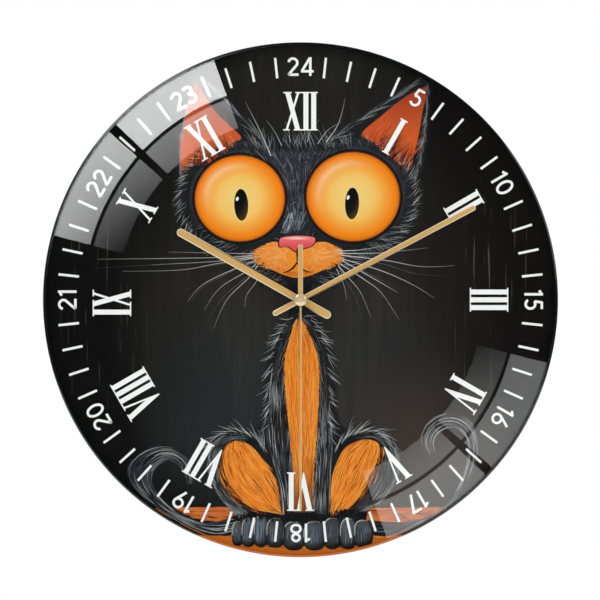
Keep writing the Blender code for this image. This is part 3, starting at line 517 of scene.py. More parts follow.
coat(1, paint["rings"]).piece("painted_backdrop", backdrop, "print_film")
backing = Finish("backingCoat", {"Specular IOR Level": 0.3})
grit = backing.noise(1500.0, 3.0)
roller = backing.noise(90.0, 4.0, (0.3, 1.0, 2.5), 0.6)
backing.set({"Base Color": backing.mix(roller * 0.6 + grit * 0.4, srgb(22, 22, 24),
                                       srgb(44, 44, 47)),
             "Roughness": 0.52 + 0.2 * grit, "Normal": backing.bump(grit, 0.00003, 0.5)})
coat(-1, 6).piece("backing_coat", backing)

# the cat
fur = {
    "shadow": srgb(16, 16, 19), "dark": srgb(30, 31, 36), "slate": srgb(58, 62, 72),
    "grey": srgb(120, 124, 132), "white": srgb(225, 224, 222), "brown": srgb(70, 42, 26),
    "orange": srgb(240, 132, 22), "light": srgb(255, 170, 62), "deep": srgb(190, 84, 18)}

# ground that the cat sits on: strips from its far edge down to the rim, then loose strokes
soil = {"half": 85.5, "top": -121.2, "rim": 148.4, "lowest": 148.3, "strips": 60, "rows": 6,
        "strokes": 420, "strokeHalf": 84, "strokeRim": 146.5}
soilStrokes = [srgb(236, 150, 66), srgb(170, 84, 26), srgb(120, 56, 20), srgb(205, 110, 36),
               srgb(80, 36, 16)]
ground = Ink()


def groundTone(x, z):
    # terracotta that turns orange towards the rim
    tone = blendColour(srgb(190, 92, 40), srgb(214, 122, 62), 0.5 + 0.5 * math.sin(x * 0.23 + z))
    return blendColour(tone, srgb(214, 118, 30), min(max((-z - 126) / 14, 0), 0.8))


floorEdge = []
for i in range(soil["strips"] + 1):
    x = -soil["half"] + 2 * soil["half"] * i / soil["strips"]
    top = soil["top"] + 0.25 * math.sin(x * 0.9) + 0.2 * math.sin(x * 2.3)
    floorEdge.append((x, top, -min(math.sqrt(soil["rim"] ** 2 - x * x), soil["lowest"])))
for (x0, t0, b0), (x1, t1, b1) in zip(floorEdge, floorEdge[1:]):
    for row in range(soil["rows"]):
        u0, u1 = row / soil["rows"], (row + 1) / soil["rows"]
        corners = [(x0, t0 + (b0 - t0) * u0), (x1, t1 + (b1 - t1) * u0),
                   (x1, t1 + (b1 - t1) * u1), (x0, t0 + (b0 - t0) * u1)]
        ground.faces.append([ground.spot(x, z, 4, groundTone(x, z)) for x, z in corners])
rolls = random.Random(11)
for _ in range(soil["strokes"]):
    x = rolls.uniform(-soil["strokeHalf"], soil["strokeHalf"])
    z = rolls.uniform(-146, -121)
    if x * x + z * z > soil["strokeRim"] ** 2 or z > soil["top"] - 0.6:
        continue
    reach = rolls.uniform(4, 16)
    tone = rolls.choice(soilStrokes)
    path = [(x + reach * t, z + 0.5 * math.sin(x + 3 * t)) for t in (0, 0.3, 0.6, 1)]
    if max(u * u + v * v for u, v in path) > soil["rim"] ** 2:
        continue
    ground.stroke(path, taper(0.1, rolls.uniform(0.3, 1.0), 0.1), 5 + rolls.randrange(4) * 0.5,
                  (tone, tone))
ground.piece("painted_ground", inkFinish)

under = Ink()    # solid masses of fur


def furTone(x, z):
    return blendColour(fur["shadow"], fur["dark"], 0.5 + 0.5 * math.sin(x * 0.21 + z * 0.13))


# body: neck, shoulders and haunches
bodyPath = curve([(-7, 14), (-6.5, 0), (-8, -12), (-16.5, -36), (-19.5, -58), (-22, -72),
                  (-34, -77), (-46, -86), (-49, -104), (-44, -114), (-39, -122), (-36, -130),
                  (-30, -142), (0, -143), (34, -143), (38, -130), (40, -122), (47, -114),
                  (52, -104), (48, -86), (38, -78), (24, -73), (21, -58), (17.5, -36), (9, -12),
                  (6.5, 0), (6.5, 14)], 8)
under.shape(bodyPath, 10, furTone)
head = curve([(0, 80.5), (-14, 80), (-26, 87), (-48, 86), (-60, 78), (-65, 62), (-64, 48),
              (-58, 38), (-47, 32), (-36, 28), (-28, 18), (-17, 10.5), (-2, 8.5), (14, 10.5),
              (27, 19), (36, 28), (48, 33), (60, 41), (66, 52), (67, 66), (60, 80), (44, 89),
              (26, 89), (14, 81)], 8)
under.shape(head, 12, lambda x, z: blendColour(fur["dark"], fur["slate"],
                                               max(0.0, 0.6 - abs(z - 66) / 60)))
# the crown between the ears
crown = curve([(-62, 70), (-50, 88), (-30, 93), (-14, 92), (0, 90), (16, 92), (34, 94),
               (52, 90), (64, 72), (0, 60)], 8)
under.shape(crown, 12.5, lambda x, z: blendColour(fur["dark"], fur["slate"],
                                                  0.5 + 0.3 * math.sin(x * 0.3)))
for mirror, tipX, tipZ, baseX, baseZ, lowX, lowZ in ((-1, -61.5, 133, -20, 88, -71, 72),
                                                    (1, 72.5, 128.5, 14, 88, 68, 70)):
    ear = curve([(baseX, baseZ), ((baseX + tipX) / 2 - mirror * 2, (baseZ + tipZ) / 2 + 3),
                 (tipX, tipZ), ((tipX + lowX) / 2 + mirror * 3, (tipZ + lowZ) / 2),
                 (lowX, lowZ), ((baseX + lowX) / 2, (baseZ + lowZ) / 2 - 4)], 8)
    under.shape(ear, 11, lambda x, z: fur["dark"])
under.piece("cat_fur_mass", inkFinish)

patches = Ink()

# ears, with their red-orange insides
innerEars = (
    [(-61, 128), (-67.5, 108), (-70.3, 91), (-68.5, 75), (-60, 81), (-50, 86.5), (-40, 91.5),
     (-34.8, 95), (-44, 104), (-52, 113)],
    [(75, 125.5), (62, 119), (47.3, 107.5), (35.7, 96.8), (42.5, 92), (51.5, 85), (62.8, 75.8),
     (66.4, 86), (69.5, 99), (71.5, 111)])
for outline in innerEars:
    patches.shape(curve(outline + [outline[0]], 8), 15, lambda x, z: blendColour(
        srgb(226, 98, 40), srgb(140, 40, 20), min(max((z - 88) / 42, 0), 1)))

# chest stripe
chestLeft = [(-1.2, -9), (-5.2, -17), (-9.7, -33), (-9.7, -48), (-8.2, -65), (-6.7, -80),
             (-5.2, -96), (-4.2, -124)]
chestRight = [(-0.6, -9), (3.3, -15), (8.3, -26), (11.3, -38), (11.3, -56), (10.3, -76),
              (8.8, -96), (7.3, -124)]


def chestTone(x, z):
    low = min(max((-z - 88) / 22, 0), 1)
    top = min(max((z + 24) / 14, 0), 1)
    return blendColour(blendColour(srgb(244, 146, 40), srgb(112, 62, 32), low),
                       srgb(150, 74, 28), top * 0.7)


patches.shape(curve(chestLeft, 6) + curve(chestRight, 6)[::-1], 16, chestTone)

# thighs, each between an outer and an inner edge that run down from the top
thighs = (
    ([(-38, -82), (-45, -85), (-48.5, -93), (-47, -106), (-39, -117), (-28, -124), (-11, -125.5)],
     [(-38, -82), (-33, -83), (-27, -87), (-20, -96), (-14, -106), (-10.5, -116), (-9.5, -125)]),
    ([(41, -81.5), (47, -84), (48.5, -91), (45, -102), (39, -113), (31, -122.5), (20, -126.5)],
     [(41, -81.5), (35, -82), (26, -87), (20.5, -96.5), (18, -108), (16.6, -118), (17.5, -126)]))
thighGrid = (10, 24)    # cells across and along


def thighTone(across, run):
    # bright at the knee, deeper towards the paw, and brown along the outer edge
    tone = blendColour(srgb(252, 164, 60), srgb(236, 116, 16), min(run, 1))
    return blendColour(tone, srgb(120, 58, 18), max(0.0, 0.14 - across) * 3.4)


for outer, inner in thighs:
    at = between(outer, inner)
    for i in range(thighGrid[1]):
        for k in range(thighGrid[0]):
            corners = [((k + a) / thighGrid[0], (i + b) / thighGrid[1])
                       for a, b in ((0, 0), (1, 0), (1, 1), (0, 1))]
            patches.faces.append([patches.spot(*at(c, r), 16, thighTone(c, r))
                                 for c, r in corners])

# muzzle
muzzle = curve([(-2, 31), (-9, 33), (-16.5, 33.8), (-22, 31), (-24, 26.5), (-20.5, 20.5),
                (-14.5, 16.6), (-8, 14), (-2, 12.8), (4, 13.8), (11.5, 16.6), (18, 20.5),
                (21.8, 26.5), (20, 31), (14.5, 33.8), (7, 33)], 8)
patches.shape(muzzle, 18, lambda x, z: blendColour(
    srgb(250, 154, 48), fur["orange"], min(1, ((abs(x + 0.5) / 30) ** 2
                                              + ((z - 25) / 15) ** 2) * 0.75)))

# eyes
eyes = (
    {"at": (-35.4, 59.2), "size": (26.1, 25.0), "pupil": (-34.6, 55.4), "tilt": 2},
    {"at": (30.7, 60.2), "size": (27.1, 25.9), "pupil": (30.1, 56.2), "tilt": -2})


def iris(share, a):
    # pale in the middle, burnt orange at the rim, with a soft light at the upper left
    toward = math.cos(a - math.radians(135))
    light = blendColour(srgb(246, 216, 136), srgb(250, 194, 92), min(1.0, share * 1.5))
    tone = blendColour(light, srgb(250, 138, 4), min(max((share - 0.48) / 0.40, 0), 1))
    tone = blendColour(tone, srgb(196, 92, 10), min(max((share - 0.92) / 0.08, 0), 1) * 0.8)
    shine = max(0.0, toward) * max(0.0, 1 - abs(share - 0.76) / 0.20)
    return blendColour(tone, srgb(255, 222, 178), 0.62 * shine ** 2.0)


for eye in eyes:
    ex, ez = eye["at"]
    rx, rz = eye["size"]
    patches.oval((ex, ez), (rx + 1.7, rz + 1.7), 20, lambda s, a: srgb(14, 13, 15), 4, 96)
    patches.oval((ex, ez), (rx + 0.7, rz + 0.7), 21, lambda s, a: srgb(88, 38, 12), 4, 96)
    patches.oval((ex, ez), (rx, rz), 22, iris, 24, 96)
    qx, qz = eye["pupil"]
    patches.oval((qx, qz), (4.9, 10.1), 23, lambda s, a: blendColour(
        srgb(252, 236, 160), srgb(250, 214, 120), s), 6, 48, eye["tilt"])
    patches.oval((qx, qz), (4.1, 9.3), 24, lambda s, a: blendColour(
        srgb(12, 10, 12), srgb(96, 70, 26), max(0.0, math.cos(a + 0.9)) * s ** 2 * 0.7), 6, 48,
        eye["tilt"])
    patches.oval((qx - 2.3, qz + 3.5), (0.8, 1.3), 25, lambda s, a: srgb(250, 250, 250), 3, 24,
                -20)

# nose
nosePath = curve([(-12.5, 33.6), (-10.9, 36.3), (-2, 37.4), (7.3, 36.6), (8.4, 34), (6.3, 31.4),
                  (1.8, 29.9), (-2.4, 28.2), (-7.3, 30.9), (-11.8, 30.9), (-12.5, 33.6)], 8)
grown = [(-2.0 + (x + 2.0) * 1.07, 33.8 + (z - 33.8) * 1.12) for x, z in nosePath]
patches.shape(grown, 26, srgb(40, 16, 18))
patches.shape(nosePath, 27, lambda x, z: blendColour(
    srgb(224, 76, 90), srgb(246, 120, 124), min(max((z - 31) / 5, 0), 1)))
patches.oval((-2.2, 35.9), (8.4, 1.0), 28, lambda s, a: blendColour(
    srgb(255, 222, 214), srgb(244, 128, 130), s), 4, 32)

# mouth
for path in ([(-1.9, 30.0), (-1.9, 25.5), (-2.0, 21.4)],
             [(-2.0, 21.8), (-4.4, 18.6), (-7.4, 16.6), (-10.2, 15.8)],
             [(-2.0, 21.8), (0.2, 18.6), (3.0, 16.8), (6.0, 16.0)]):
    patches.stroke(curve(path), taper(0.7, 1.1, 0.35), 27, (srgb(22, 10, 8),) * 2)
patches.piece("cat_colours", inkFinish)
print("cat painted")

# brush strokes of fur
strokes = Ink()
white, grey, slate, dark = fur["white"], fur["grey"], fur["slate"], fur["dark"]
black, coal = srgb(8, 8, 10), srgb(44, 46, 52)
pelt = (black, dark, coal)    # hairs in shade
sheen = (slate, grey, white)    # hairs that catch the light


def ringPath(cx, cz, rx, rz, start, end, count=22):
    # an arc of an oval, between two angles in degrees from its right side
    path = []
    for i in range(count + 1):
        a = math.radians(start + (end - start) * i / count)
        path.append((cx + rx * math.cos(a), cz + rz * math.sin(a)))
    return path


# head fur round the eyes, combed outwards
for eye in eyes:
    ex, ez = eye["at"]
    rx, rz = eye["size"]
    outer = ringPath(ex, ez, rx + 6, rz + 6, 0, 360, 72)
    hairs(strokes, outer, 520, 8, -68, 10, 0.45, (black, dark, slate), 14, 21, depth=3)
    hairs(strokes, outer, 64, 7, -60, 12, 0.22, sheen, 16, 22, depth=2)
    inner = ringPath(ex, ez, rx + 3.2, rz + 3.2, 0, 360, 72)
    hairs(strokes, inner, 300, 5.0, -60, 8, 0.42, pelt, 15, 23, spread=20)

for eye, span in zip(eyes, ((118, 242), (-62, 62))):
    rx, rz = eye["size"]
    fringe = ringPath(*eye["at"], rx + 8.5, rz + 8, *span, 50)
    hairs(strokes, fringe, 300, 6.5, -62, 10, 0.4, pelt, 15, 26, depth=2, spread=16)
    hairs(strokes, fringe, 52, 7.0, -56, 12, 0.24, (slate, white, white), 17, 27, depth=1.5,
          spread=18)

# crown and forehead
browLeft = [(-3.5, 40), (-8, 52), (-9, 64), (-15, 76), (-26, 88)]
browRight = [(-1, 40), (4, 52), (5, 64), (10, 76), (20, 88)]
browHair = choice((black, coal), (dark, slate), (coal, srgb(92, 96, 104)), (coal, slate),
                  (srgb(48, 52, 62), srgb(104, 110, 124)))
comb(strokes, browLeft, browRight, 900, 0.16, 0.5, browHair, 17, 31, 6, across=(-0.25, 1.25))
comb(strokes, browLeft, browRight, 46, 0.18, 0.22, choice((slate, grey), (grey, white)), 19, 32, 3,
     along=(0.45, 1.0), across=(-0.3, 1.3))
comb(strokes, browLeft, browRight, 60, 0.10, 0.26, choice((slate, srgb(190, 196, 208))), 19, 33, 3,
     along=(0.0, 0.28))
hairs(strokes, curve([(-30, 88), (-12, 90), (8, 90), (30, 90)]), 380, 11, 90, 10, 0.42, pelt, 15,
      34, depth=8, spread=30)
hairs(strokes, curve([(-30, 89), (-12, 91), (8, 91), (30, 91)]), 60, 12, 92, 12, 0.26, sheen, 18,
      35, depth=4, spread=34)

# pale tuft on the bridge of the nose
comb(strokes, [(-12.5, 38.5), (-10, 44), (-7, 51)], [(-6, 38.5), (-5, 44), (-4, 51)], 60, 0.34,
     0.3, choice((slate, srgb(168, 184, 206)), (srgb(120, 134, 156), srgb(206, 216, 230))), 20, 38,
     3)

# ears
for side, edgeOut, edgeIn in (
        (-1, [(-70.5, 74), (-70, 96), (-62, 132)], [(-62, 132), (-44, 113), (-22, 90)]),
        (1, [(68, 72), (73, 100), (74, 126)], [(72, 127), (50, 112), (16, 90)])):
    outPath, inPath = curve(edgeOut), curve(edgeIn)
    hairs(strokes, outPath, 200, 7, 20 * -side, 0, 0.45, pelt, 18, 41, depth=2)
    hairs(strokes, outPath, 60, 7, 200 if side < 0 else 170, 0, 0.22, sheen, 22, 42, depth=1.5,
          spread=26)
    hairs(strokes, inPath, 360, 9, 180 + 6 * side, 0, 0.45, pelt, 18, 43, depth=0, spread=9)
    low = [(x - side * 1.5, z + 2) for x, z in inPath]
    hairs(strokes, low, 200, 10, 180 + 4 * side, 0, 0.5, (black, dark, slate), 19, 45, spread=8)
    hairs(strokes, low, 44, 15, 180 - 6 * side, 4 * side, 0.22, sheen, 23, 44, depth=3, spread=15)

# hair inside the ears
for guide, *look, level, seed, depth, spread in (
        ([(-64, 80), (-54, 82), (-40, 92)], 110, 16, 76, -10, 0.4,
         (srgb(176, 62, 24), srgb(226, 98, 40), srgb(240, 130, 70)), 16, 51, 3, 16),
        ([(40, 97), (50, 88), (62, 80)], 120, 20, 94, -14, 0.4,
         (srgb(150, 44, 20), srgb(222, 90, 34), srgb(236, 116, 54)), 16, 52, 3, 16),
        ([(44, 94), (54, 86), (63, 79)], 60, 16, 92, -8, 0.34, (black, black, dark), 18, 53, 5, 22),
        ([(-64, 79), (-54, 80), (-42, 90)], 50, 13, 78, -8, 0.34, (black, black, dark), 18, 54, 5,
         22)):
    hairs(strokes, curve(guide), *look, level, seed, depth, spread)

# cheeks
for side in (-1, 1):
    cheek = curve([(side * 62 + 1, 44), (side * 52 + 1, 34), (side * 38, 25), (side * 28, 15),
                   (side * 15, 8)])
    hairs(strokes, cheek, 380, 10, -62 * side, 8 * side, 0.42, pelt, 14, 61, depth=6, spread=22)
    hairs(strokes, cheek, 44, 12, -58 * side, 10 * side, 0.24, sheen, 17, 62, depth=4, spread=22)

# muzzle fur, fanning out from a point in each pad
orange, light, deep, brown = fur["orange"], fur["light"], fur["deep"], fur["brown"]
pad = {"x": 8.2, "z": 25.8, "middle": -1.2, "out": 18.5, "in": 8.0, "up": 9.6, "down": 10.6,
       "strands": 640, "fan": 125}
muzzleRolls = random.Random(63)
for side in (-1, 1):
    for _ in range(pad["strands"]):
        a = math.radians(muzzleRolls.uniform(-pad["fan"], pad["fan"]))
        outward = pad["out"] if math.cos(a) > 0 else pad["in"]
        upward = pad["up"] if math.sin(a) > 0 else pad["down"]
        start = muzzleRolls.random() ** 0.7 * 0.9
        reach = muzzleRolls.uniform(0.16, 0.34)
        edge = 1.1 - 0.12 * (1 - max(math.cos(a), 0.0))
        end = min(start + reach, muzzleRolls.uniform(0.93, edge))
        if end <= start + 0.05:
            continue
        strand = [(side * (pad["x"] + outward * r * math.cos(a)) + pad["middle"],
                   pad["z"] + upward * r * math.sin(a) * (1 - 0.12 * r)) for r in
                  (start, (start + end) / 2, end)]
        low = max(0.0, -math.sin(a)) * start
        root = blendColour(srgb(255, 176, 92), srgb(238, 132, 34), min(1.0, start + low * 0.5))
        tip = muzzleRolls.choice((srgb(252, 160, 62), srgb(255, 206, 140), srgb(228, 118, 26),
                                  srgb(244, 146, 50)))
        strokes.stroke(curve(strand, 3), taper(0.2, muzzleRolls.uniform(0.3, 0.62), 0.1),
                       19 + muzzleRolls.random() * 2.5, (root, tip))
hairs(strokes, curve([(-10, 16.8), (-2, 15.4), (7.5, 16.8)]), 110, 2.8, -90, 0, 0.42,
      (deep, orange, srgb(246, 150, 56)), 20, 68, depth=1, spread=22)
hairs(strokes, curve([(-14, 15.8), (-2, 12.4), (11, 15.8)]), 60, 2.6, -90, 0, 0.3,
      (black, dark, brown), 19, 67, depth=-0.4, spread=22)


def chestHair(u, run, dice):
    # orange strokes that darken between the legs
    low = min(max((run - 0.68) / 0.25, 0), 1) * 0.85
    pair = dice.choice(((orange, srgb(252, 154, 48)), (srgb(252, 154, 48), light),
                        (srgb(222, 112, 26), orange), (orange, srgb(246, 150, 60)),
                        (srgb(240, 140, 44), srgb(255, 190, 104)), (deep, orange)))
    return tuple(blendColour(tone, srgb(84, 46, 24), low) for tone in pair)


comb(strokes, chestLeft, chestRight, 1100, 0.14, 0.42, chestHair, 17, 71, 6)
comb(strokes, chestLeft, chestRight, 46, 0.12, 0.18, choice((brown, deep), (brown, black)), 20, 72,
     4)
for side, rimPath in ((-1, chestLeft), (1, chestRight)):
    rimCurve = curve(rimPath, 8)
    hairs(strokes, rimCurve, 330, 9, 9 * side, -8 * side, 0.5, (black, fur["shadow"], dark), 21,
          73, depth=3, spread=10)
    hairs(strokes, rimCurve, 36, 9, 10 * side, -6 * side, 0.22, sheen, 25, 74, depth=2, spread=12)
flankLeft = [(-4, -9), (-11, -16), (-16, -30), (-18.5, -45), (-19.5, -60), (-20, -76),
             (-17, -96), (-13, -110), (-11, -126)]
flankRight = [(2, -6), (8, -13), (14.2, -24), (17, -38), (18, -53), (18, -68), (19, -84),
              (18, -104), (17, -126)]
furCool = choice((black, srgb(50, 52, 57)), (dark, coal), (coal, srgb(96, 98, 102)),
                 (black, dark), (srgb(40, 37, 35), srgb(84, 80, 76)), (black, black))
comb(strokes, flankLeft, chestLeft, 700, 0.10, 0.5, furCool, 22, 75, 6)
comb(strokes, chestRight, flankRight, 760, 0.10, 0.5, furCool, 22, 76, 6)
comb(strokes, flankLeft, chestLeft, 90, 0.12, 0.26, choice((grey, white), (slate, grey)), 26, 80,
     4, along=(0.3, 1.0), across=(0.1, 0.7))
comb(strokes, chestRight, flankRight, 110, 0.12, 0.26, choice((grey, white), (slate, grey)), 26,
     77, 4, along=(0.45, 1.0))
for side, path in ((-1, flankLeft[:6]), (1, flankRight[:7])):
    flank = curve(path)
    hairs(strokes, flank, 420, 8, 32 * side, 4 * side, 0.5, pelt, 24, 78, depth=6, spread=16)
    hairs(strokes, flank, 42, 9.0, 34 * side, 14 * side, 0.27, (grey, white, white), 28, 79,
          depth=3.5, spread=22)

# thighs and haunches
thighHair = choice((orange, srgb(252, 154, 48)), (srgb(226, 106, 20), orange),
                   (srgb(252, 154, 48), srgb(255, 188, 92)), (srgb(240, 140, 44), light),
                   (srgb(214, 98, 18), srgb(240, 140, 40)))
for number, (outer, inner) in enumerate(thighs):
    comb(strokes, outer, inner, 900, 0.22, 0.44, thighHair, 17, 81 + number, 6)
    comb(strokes, outer, inner, 90, 0.18, 0.24, choice((brown, black), (brown, brown)), 20,
         83 + number, 4)
    comb(strokes, outer, inner, 150, 0.18, 0.40, choice((brown, black), (black, dark)), 20,
         85 + number, 4, across=(0.0, 0.14))
haunches = (
    ([(-30, -78), (-42, -77.5), (-51, -84), (-54, -95), (-51, -108), (-44, -119), (-35, -128)],
     [(-30, -82), (-40, -82.5), (-46.5, -87), (-48, -96), (-46.5, -106), (-39, -117),
      (-29, -125)]),
    ([(30, -77.5), (43, -76), (53, -81), (57.5, -92), (56, -104), (49, -115.5), (40.5, -122)],
     [(32, -82), (42, -81), (48, -85), (48.5, -92), (45, -102), (39, -113), (31, -124)]))
for (outer, inner), side in zip(haunches, (-1, 1)):
    comb(strokes, outer, inner, 620, 0.14, 0.55, furCool, 19, 85 + side, 6)
    comb(strokes, outer, inner, 60, 0.16, 0.24, choice((slate, white), (slate, grey)), 24,
         87 + side, 4)
    hairs(strokes, curve(outer[1:]), 44, 11, -16 * side, 6 * side, 0.26, sheen, 25, 90 + side,
          depth=2, spread=14)
    top = curve([(side * 20.5, -87), (side * 27, -80), (side * 37, -76.5), (side * 48, -79),
                 (side * 52, -84)])
    hairs(strokes, top, 300, 9, 20 * side, -10 * side, 0.5, pelt, 24, 93 + side, depth=5,
          spread=16)
    hairs(strokes, top, 34, 12, 24 * side, -16 * side, 0.28, (slate, white, white), 28, 96 + side,
          depth=4, spread=16)
strokes.piece("cat_fur_strokes", inkFinish)
print("fur combed")

# tails, paws and whiskers
lines = Ink()
tailLeft = (
    [(-36, -134.5), (-50, -137.5), (-66, -132.3), (-79.5, -124.3), (-91.5, -115), (-99.5, -105.5),
     (-100, -96), (-91.5, -88), (-80, -85), (-69, -88.5), (-63, -97), (-63, -107)],
    [(-36, -127), (-50, -130), (-64, -128), (-75, -122), (-83, -114), (-87, -106), (-86, -100),
     (-82, -95.5), (-77, -93.5), (-71.5, -96), (-67.5, -101), (-66, -108)])
tailRight = (
    [(38, -136.5), (50, -137.5), (62, -133.8), (75.5, -127), (86.5, -119.8), (96, -111.5),
     (101.5, -100), (105, -88), (104.5, -79.5), (101, -72), (94, -67), (85, -66), (76.5, -70),
     (71.5, -76.5), (70.5, -84.5), (74.5, -91)],
    [(38, -129), (50, -130), (60, -130.3), (73, -128.2), (82, -122), (88, -116), (93, -107),
     (95.5, -98), (97.5, -90), (97, -82), (93, -76), (87.5, -74.5), (82, -76.5), (79, -80),
     (78, -84), (79, -88)])
tailTone = choice((black, srgb(52, 54, 62)), (dark, slate), (srgb(36, 38, 44), srgb(84, 88, 98)),
                  (black, fur["shadow"]), (black, dark))
comb(lines, *tailLeft, 300, 0.12, 3.2, choice((fur["shadow"], dark), (dark, black)), 7, 101, 4,
     0.02)
comb(lines, *tailLeft, 1500, 0.09, 0.7, tailTone, 9, 102, 6, 0.05)
comb(lines, *tailLeft, 84, 0.15, 0.26, choice((slate, grey), (grey, white), (white, grey)), 12.5,
     103, 3, 0.04)
comb(lines, *tailRight, 420, 0.08, 1.3, choice((fur["shadow"], dark), (black, dark)), 8, 104, 4,
     0.02, along=(0.0, 0.26))
comb(lines, *tailRight, 130, 0.09, 0.5, choice((coal, slate), (dark, coal)), 10, 105, 4, 0.05)
comb(lines, *tailRight, 60, 0.10, 0.28, choice((slate, grey), (grey, white)), 12.5, 106, 3, 0.04)
comb(lines, *tailRight, 34, 0.18, 0.26, choice((white, grey), (grey, white)), 14, 107, 3, 0.05,
     along=(0.5, 1.0))

# toes, as (middle x, half width, top, bottom, brightness) of one paw after another
paws = (
    [(-36.6, 3.1, -129.3, -143.2, 0.75), (-30.4, 3.9, -127.5, -143.7, 1.15),
     (-23.0, 4.2, -126.2, -143.9, 1.25), (-14.6, 5.2, -127.3, -144.2, 0.5)],
    [(-3.8, 6.3, -129.6, -145.7, 0.5), (8.2, 6.4, -129.3, -145.7, 0.8)],
    [(18.6, 5.2, -127.3, -145.0, 0.45), (27.9, 4.7, -127.6, -145.0, 0.85),
     (36.6, 5.4, -128.6, -144.0, 0.6)])
toeSquare = 2.7    # an oval's outline would have 2


def toeEdge(a):
    # how far a toe's blunt outline reaches at an angle, beside an oval's 1
    return (abs(math.cos(a)) ** toeSquare + abs(math.sin(a)) ** toeSquare) ** (-1 / toeSquare)


def toeShade(share, a):
    # darker towards the edge, least at the upper left
    return min(1.0, share ** 1.3 * (0.85 - 0.35 * math.sin(a) + 0.25 * math.cos(a)))


clawRolls = random.Random(17)
for toes in paws:
    for number, (x, half, top, bottom, bright) in enumerate(toes):
        level = 30 + number * 2
        z, tall = (top + bottom) / 2, (top - bottom) / 2
        pale = blendColour(srgb(40, 40, 42), srgb(110, 120, 134), bright * 0.8)
        lines.oval((x, z - 0.2), (half + 0.45, tall + 0.35), level,
                   lambda share, a: srgb(10, 10, 12), 4, 48, reachAt=toeEdge)
        lines.oval((x, z), (half, tall), level + 0.3,
                   lambda share, a: blendColour(pale, srgb(30, 26, 24), toeShade(share, a)),
                   10, 48, reachAt=toeEdge)
        for _ in range(26):
            u = clawRolls.uniform(-0.85, 0.85)
            v0, v1 = clawRolls.uniform(-0.8, 0.1), clawRolls.uniform(0.2, 0.85)
            hair = [(x + half * u * (1.05 - 0.25 * v * v), z + tall * v) for v in
                    (v0, (v0 + v1) / 2, v1)]
            tone = clawRolls.choice((srgb(150, 164, 182), srgb(92, 100, 112), srgb(14, 14, 16),
                                     srgb(46, 44, 44), srgb(60, 60, 62)))
            lines.stroke(curve(hair, 4), taper(0.05, clawRolls.uniform(0.16, 0.4), 0.05),
                         level + 0.6 + 0.6 * clawRolls.random(),
                         (tone, blendColour(tone, srgb(40, 40, 44), 0.5)))
        rimLight = []
        for step in range(19):
            a = math.radians(62 + 128 * step / 18)
            rimLight.append((x + (half - 0.15) * toeEdge(a) * math.cos(a),
                             z + (tall - 0.15) * toeEdge(a) * math.sin(a)))
        lines.stroke(rimLight, taper(0.3, 0.8, 0.25), level + 1.4,
                     (srgb(150, 142, 128), srgb(206, 202, 192)))
    x0, x1 = toes[0][0] - 2, toes[-1][0] + 2
    high = toes[0][2]
    over = [(x0, high + 1.4), ((x0 + x1) / 2, high + 3.4), (x1, high + 1.8)]
    hairs(lines, curve(over), 110, 4.2, -84, 0, 0.6, (black, black, dark), 39, 121, depth=2.5,
          spread=16)
for claw in ([(41.5, -130), (42.6, -134), (42.4, -139), (40.5, -143)],
             [(-39.6, -131), (-40.3, -135), (-39.8, -140)]):
    lines.stroke(curve(claw, 6), taper(0.1, 0.4, 0.1), 38,
                 (srgb(186, 182, 172), srgb(120, 114, 104)))

# whiskers from the muzzle, then the long hairs over the brow
whiskers = (
    [(-28, 26), (-40, 24.9), (-80, 24.1), (-118.5, 23.7)],
    [(-28, 25), (-30, 23.9), (-50, 20.9), (-70, 17.4), (-104, 16.6)],
    [(-28, 25), (-50, 22.4), (-87, 20.4)], [(-26, 27), (-35, 27), (-77, 27.9)],
    [(-26, 23), (-40, 17.4), (-57, 8.9), (-66, -1.1)],
    [(-26, 21), (-31, 16.9), (-47, 6.9), (-56.3, -6)],
    [(-25, 20), (-30, 13), (-43, 0), (-50.8, -17)],
    [(-24, 17), (-25.7, 10.9), (-31.3, 2.9), (-32.6, -4.6)],
    [(21, 28.5), (37.2, 29.4), (59.3, 33.9)], [(22, 27), (47.3, 27.4), (74.3, 30.4)],
    [(24, 26), (50.3, 22.9), (70.3, 19.4), (89.9, 19.9)],
    [(24, 24), (47.3, 16.9), (65.3, 8.9), (78.3, 0.9)], [(24, 23), (45.3, 10.9), (57.3, 3.9)],
    [(23, 21), (37.2, 11.9), (47.3, 3.9), (57.6, -11.7)],
    [(22, 20), (27.2, 13.9), (35.2, 3.9), (41.2, -10.7)], [(21, 18), (25.2, 8.9), (27, 0)],
    [(-17.2, 84), (-24.8, 101), (-32.3, 115.6)], [(15, 92), (22.2, 103), (26.2, 118)],
    [(-11, 90), (-15, 98), (-20, 105)], [(-6, 92), (-7, 99), (-9, 104)],
    [(4, 92), (6, 99), (11, 105)], [(10, 91), (16, 99), (24, 104)])
for path in whiskers:
    stout = min(1.0, math.dist(path[0], path[-1]) / 30)
    lines.stroke(curve(path, 10), taper(0.5 * stout, 0.46 * stout, 0.12), 44,
                 (srgb(222, 220, 216), srgb(150, 148, 146)))
rolls = random.Random(7)
for path in whiskers[:16:2]:    # a fainter one beside every second whisker
    sx, sz = rolls.uniform(-4, 4), rolls.uniform(-5, 5)
    bent = [path[0]] + [(x + sx * i / 2, z + sz * i / 2) for i, (x, z) in enumerate(path[1:], 1)]
    lines.stroke(curve(bent, 8), taper(0.2, 0.18, 0.05), 43.5,
                 (srgb(150, 148, 146), srgb(90, 88, 88)))
lines.piece("cat_lines", inkFinish)
print("tails, paws and whiskers painted")

# numerals and minute marks
marks = {"tickIn": 130.0, "tickOut": 142.0, "tickWidth": 1.4, "digitRadius": 136.1,
         "digitHeight": 10.9, "digitStroke": 1.48, "romanIn": 98.8, "romanHeight": 22.5,
         "stem": 2.9, "hairline": 1.3, "serif": 0.76, "serifWidth": 4.8, "level": 50}
numerals = Ink()
inkWhite = (0.97, 0.97, 0.97)


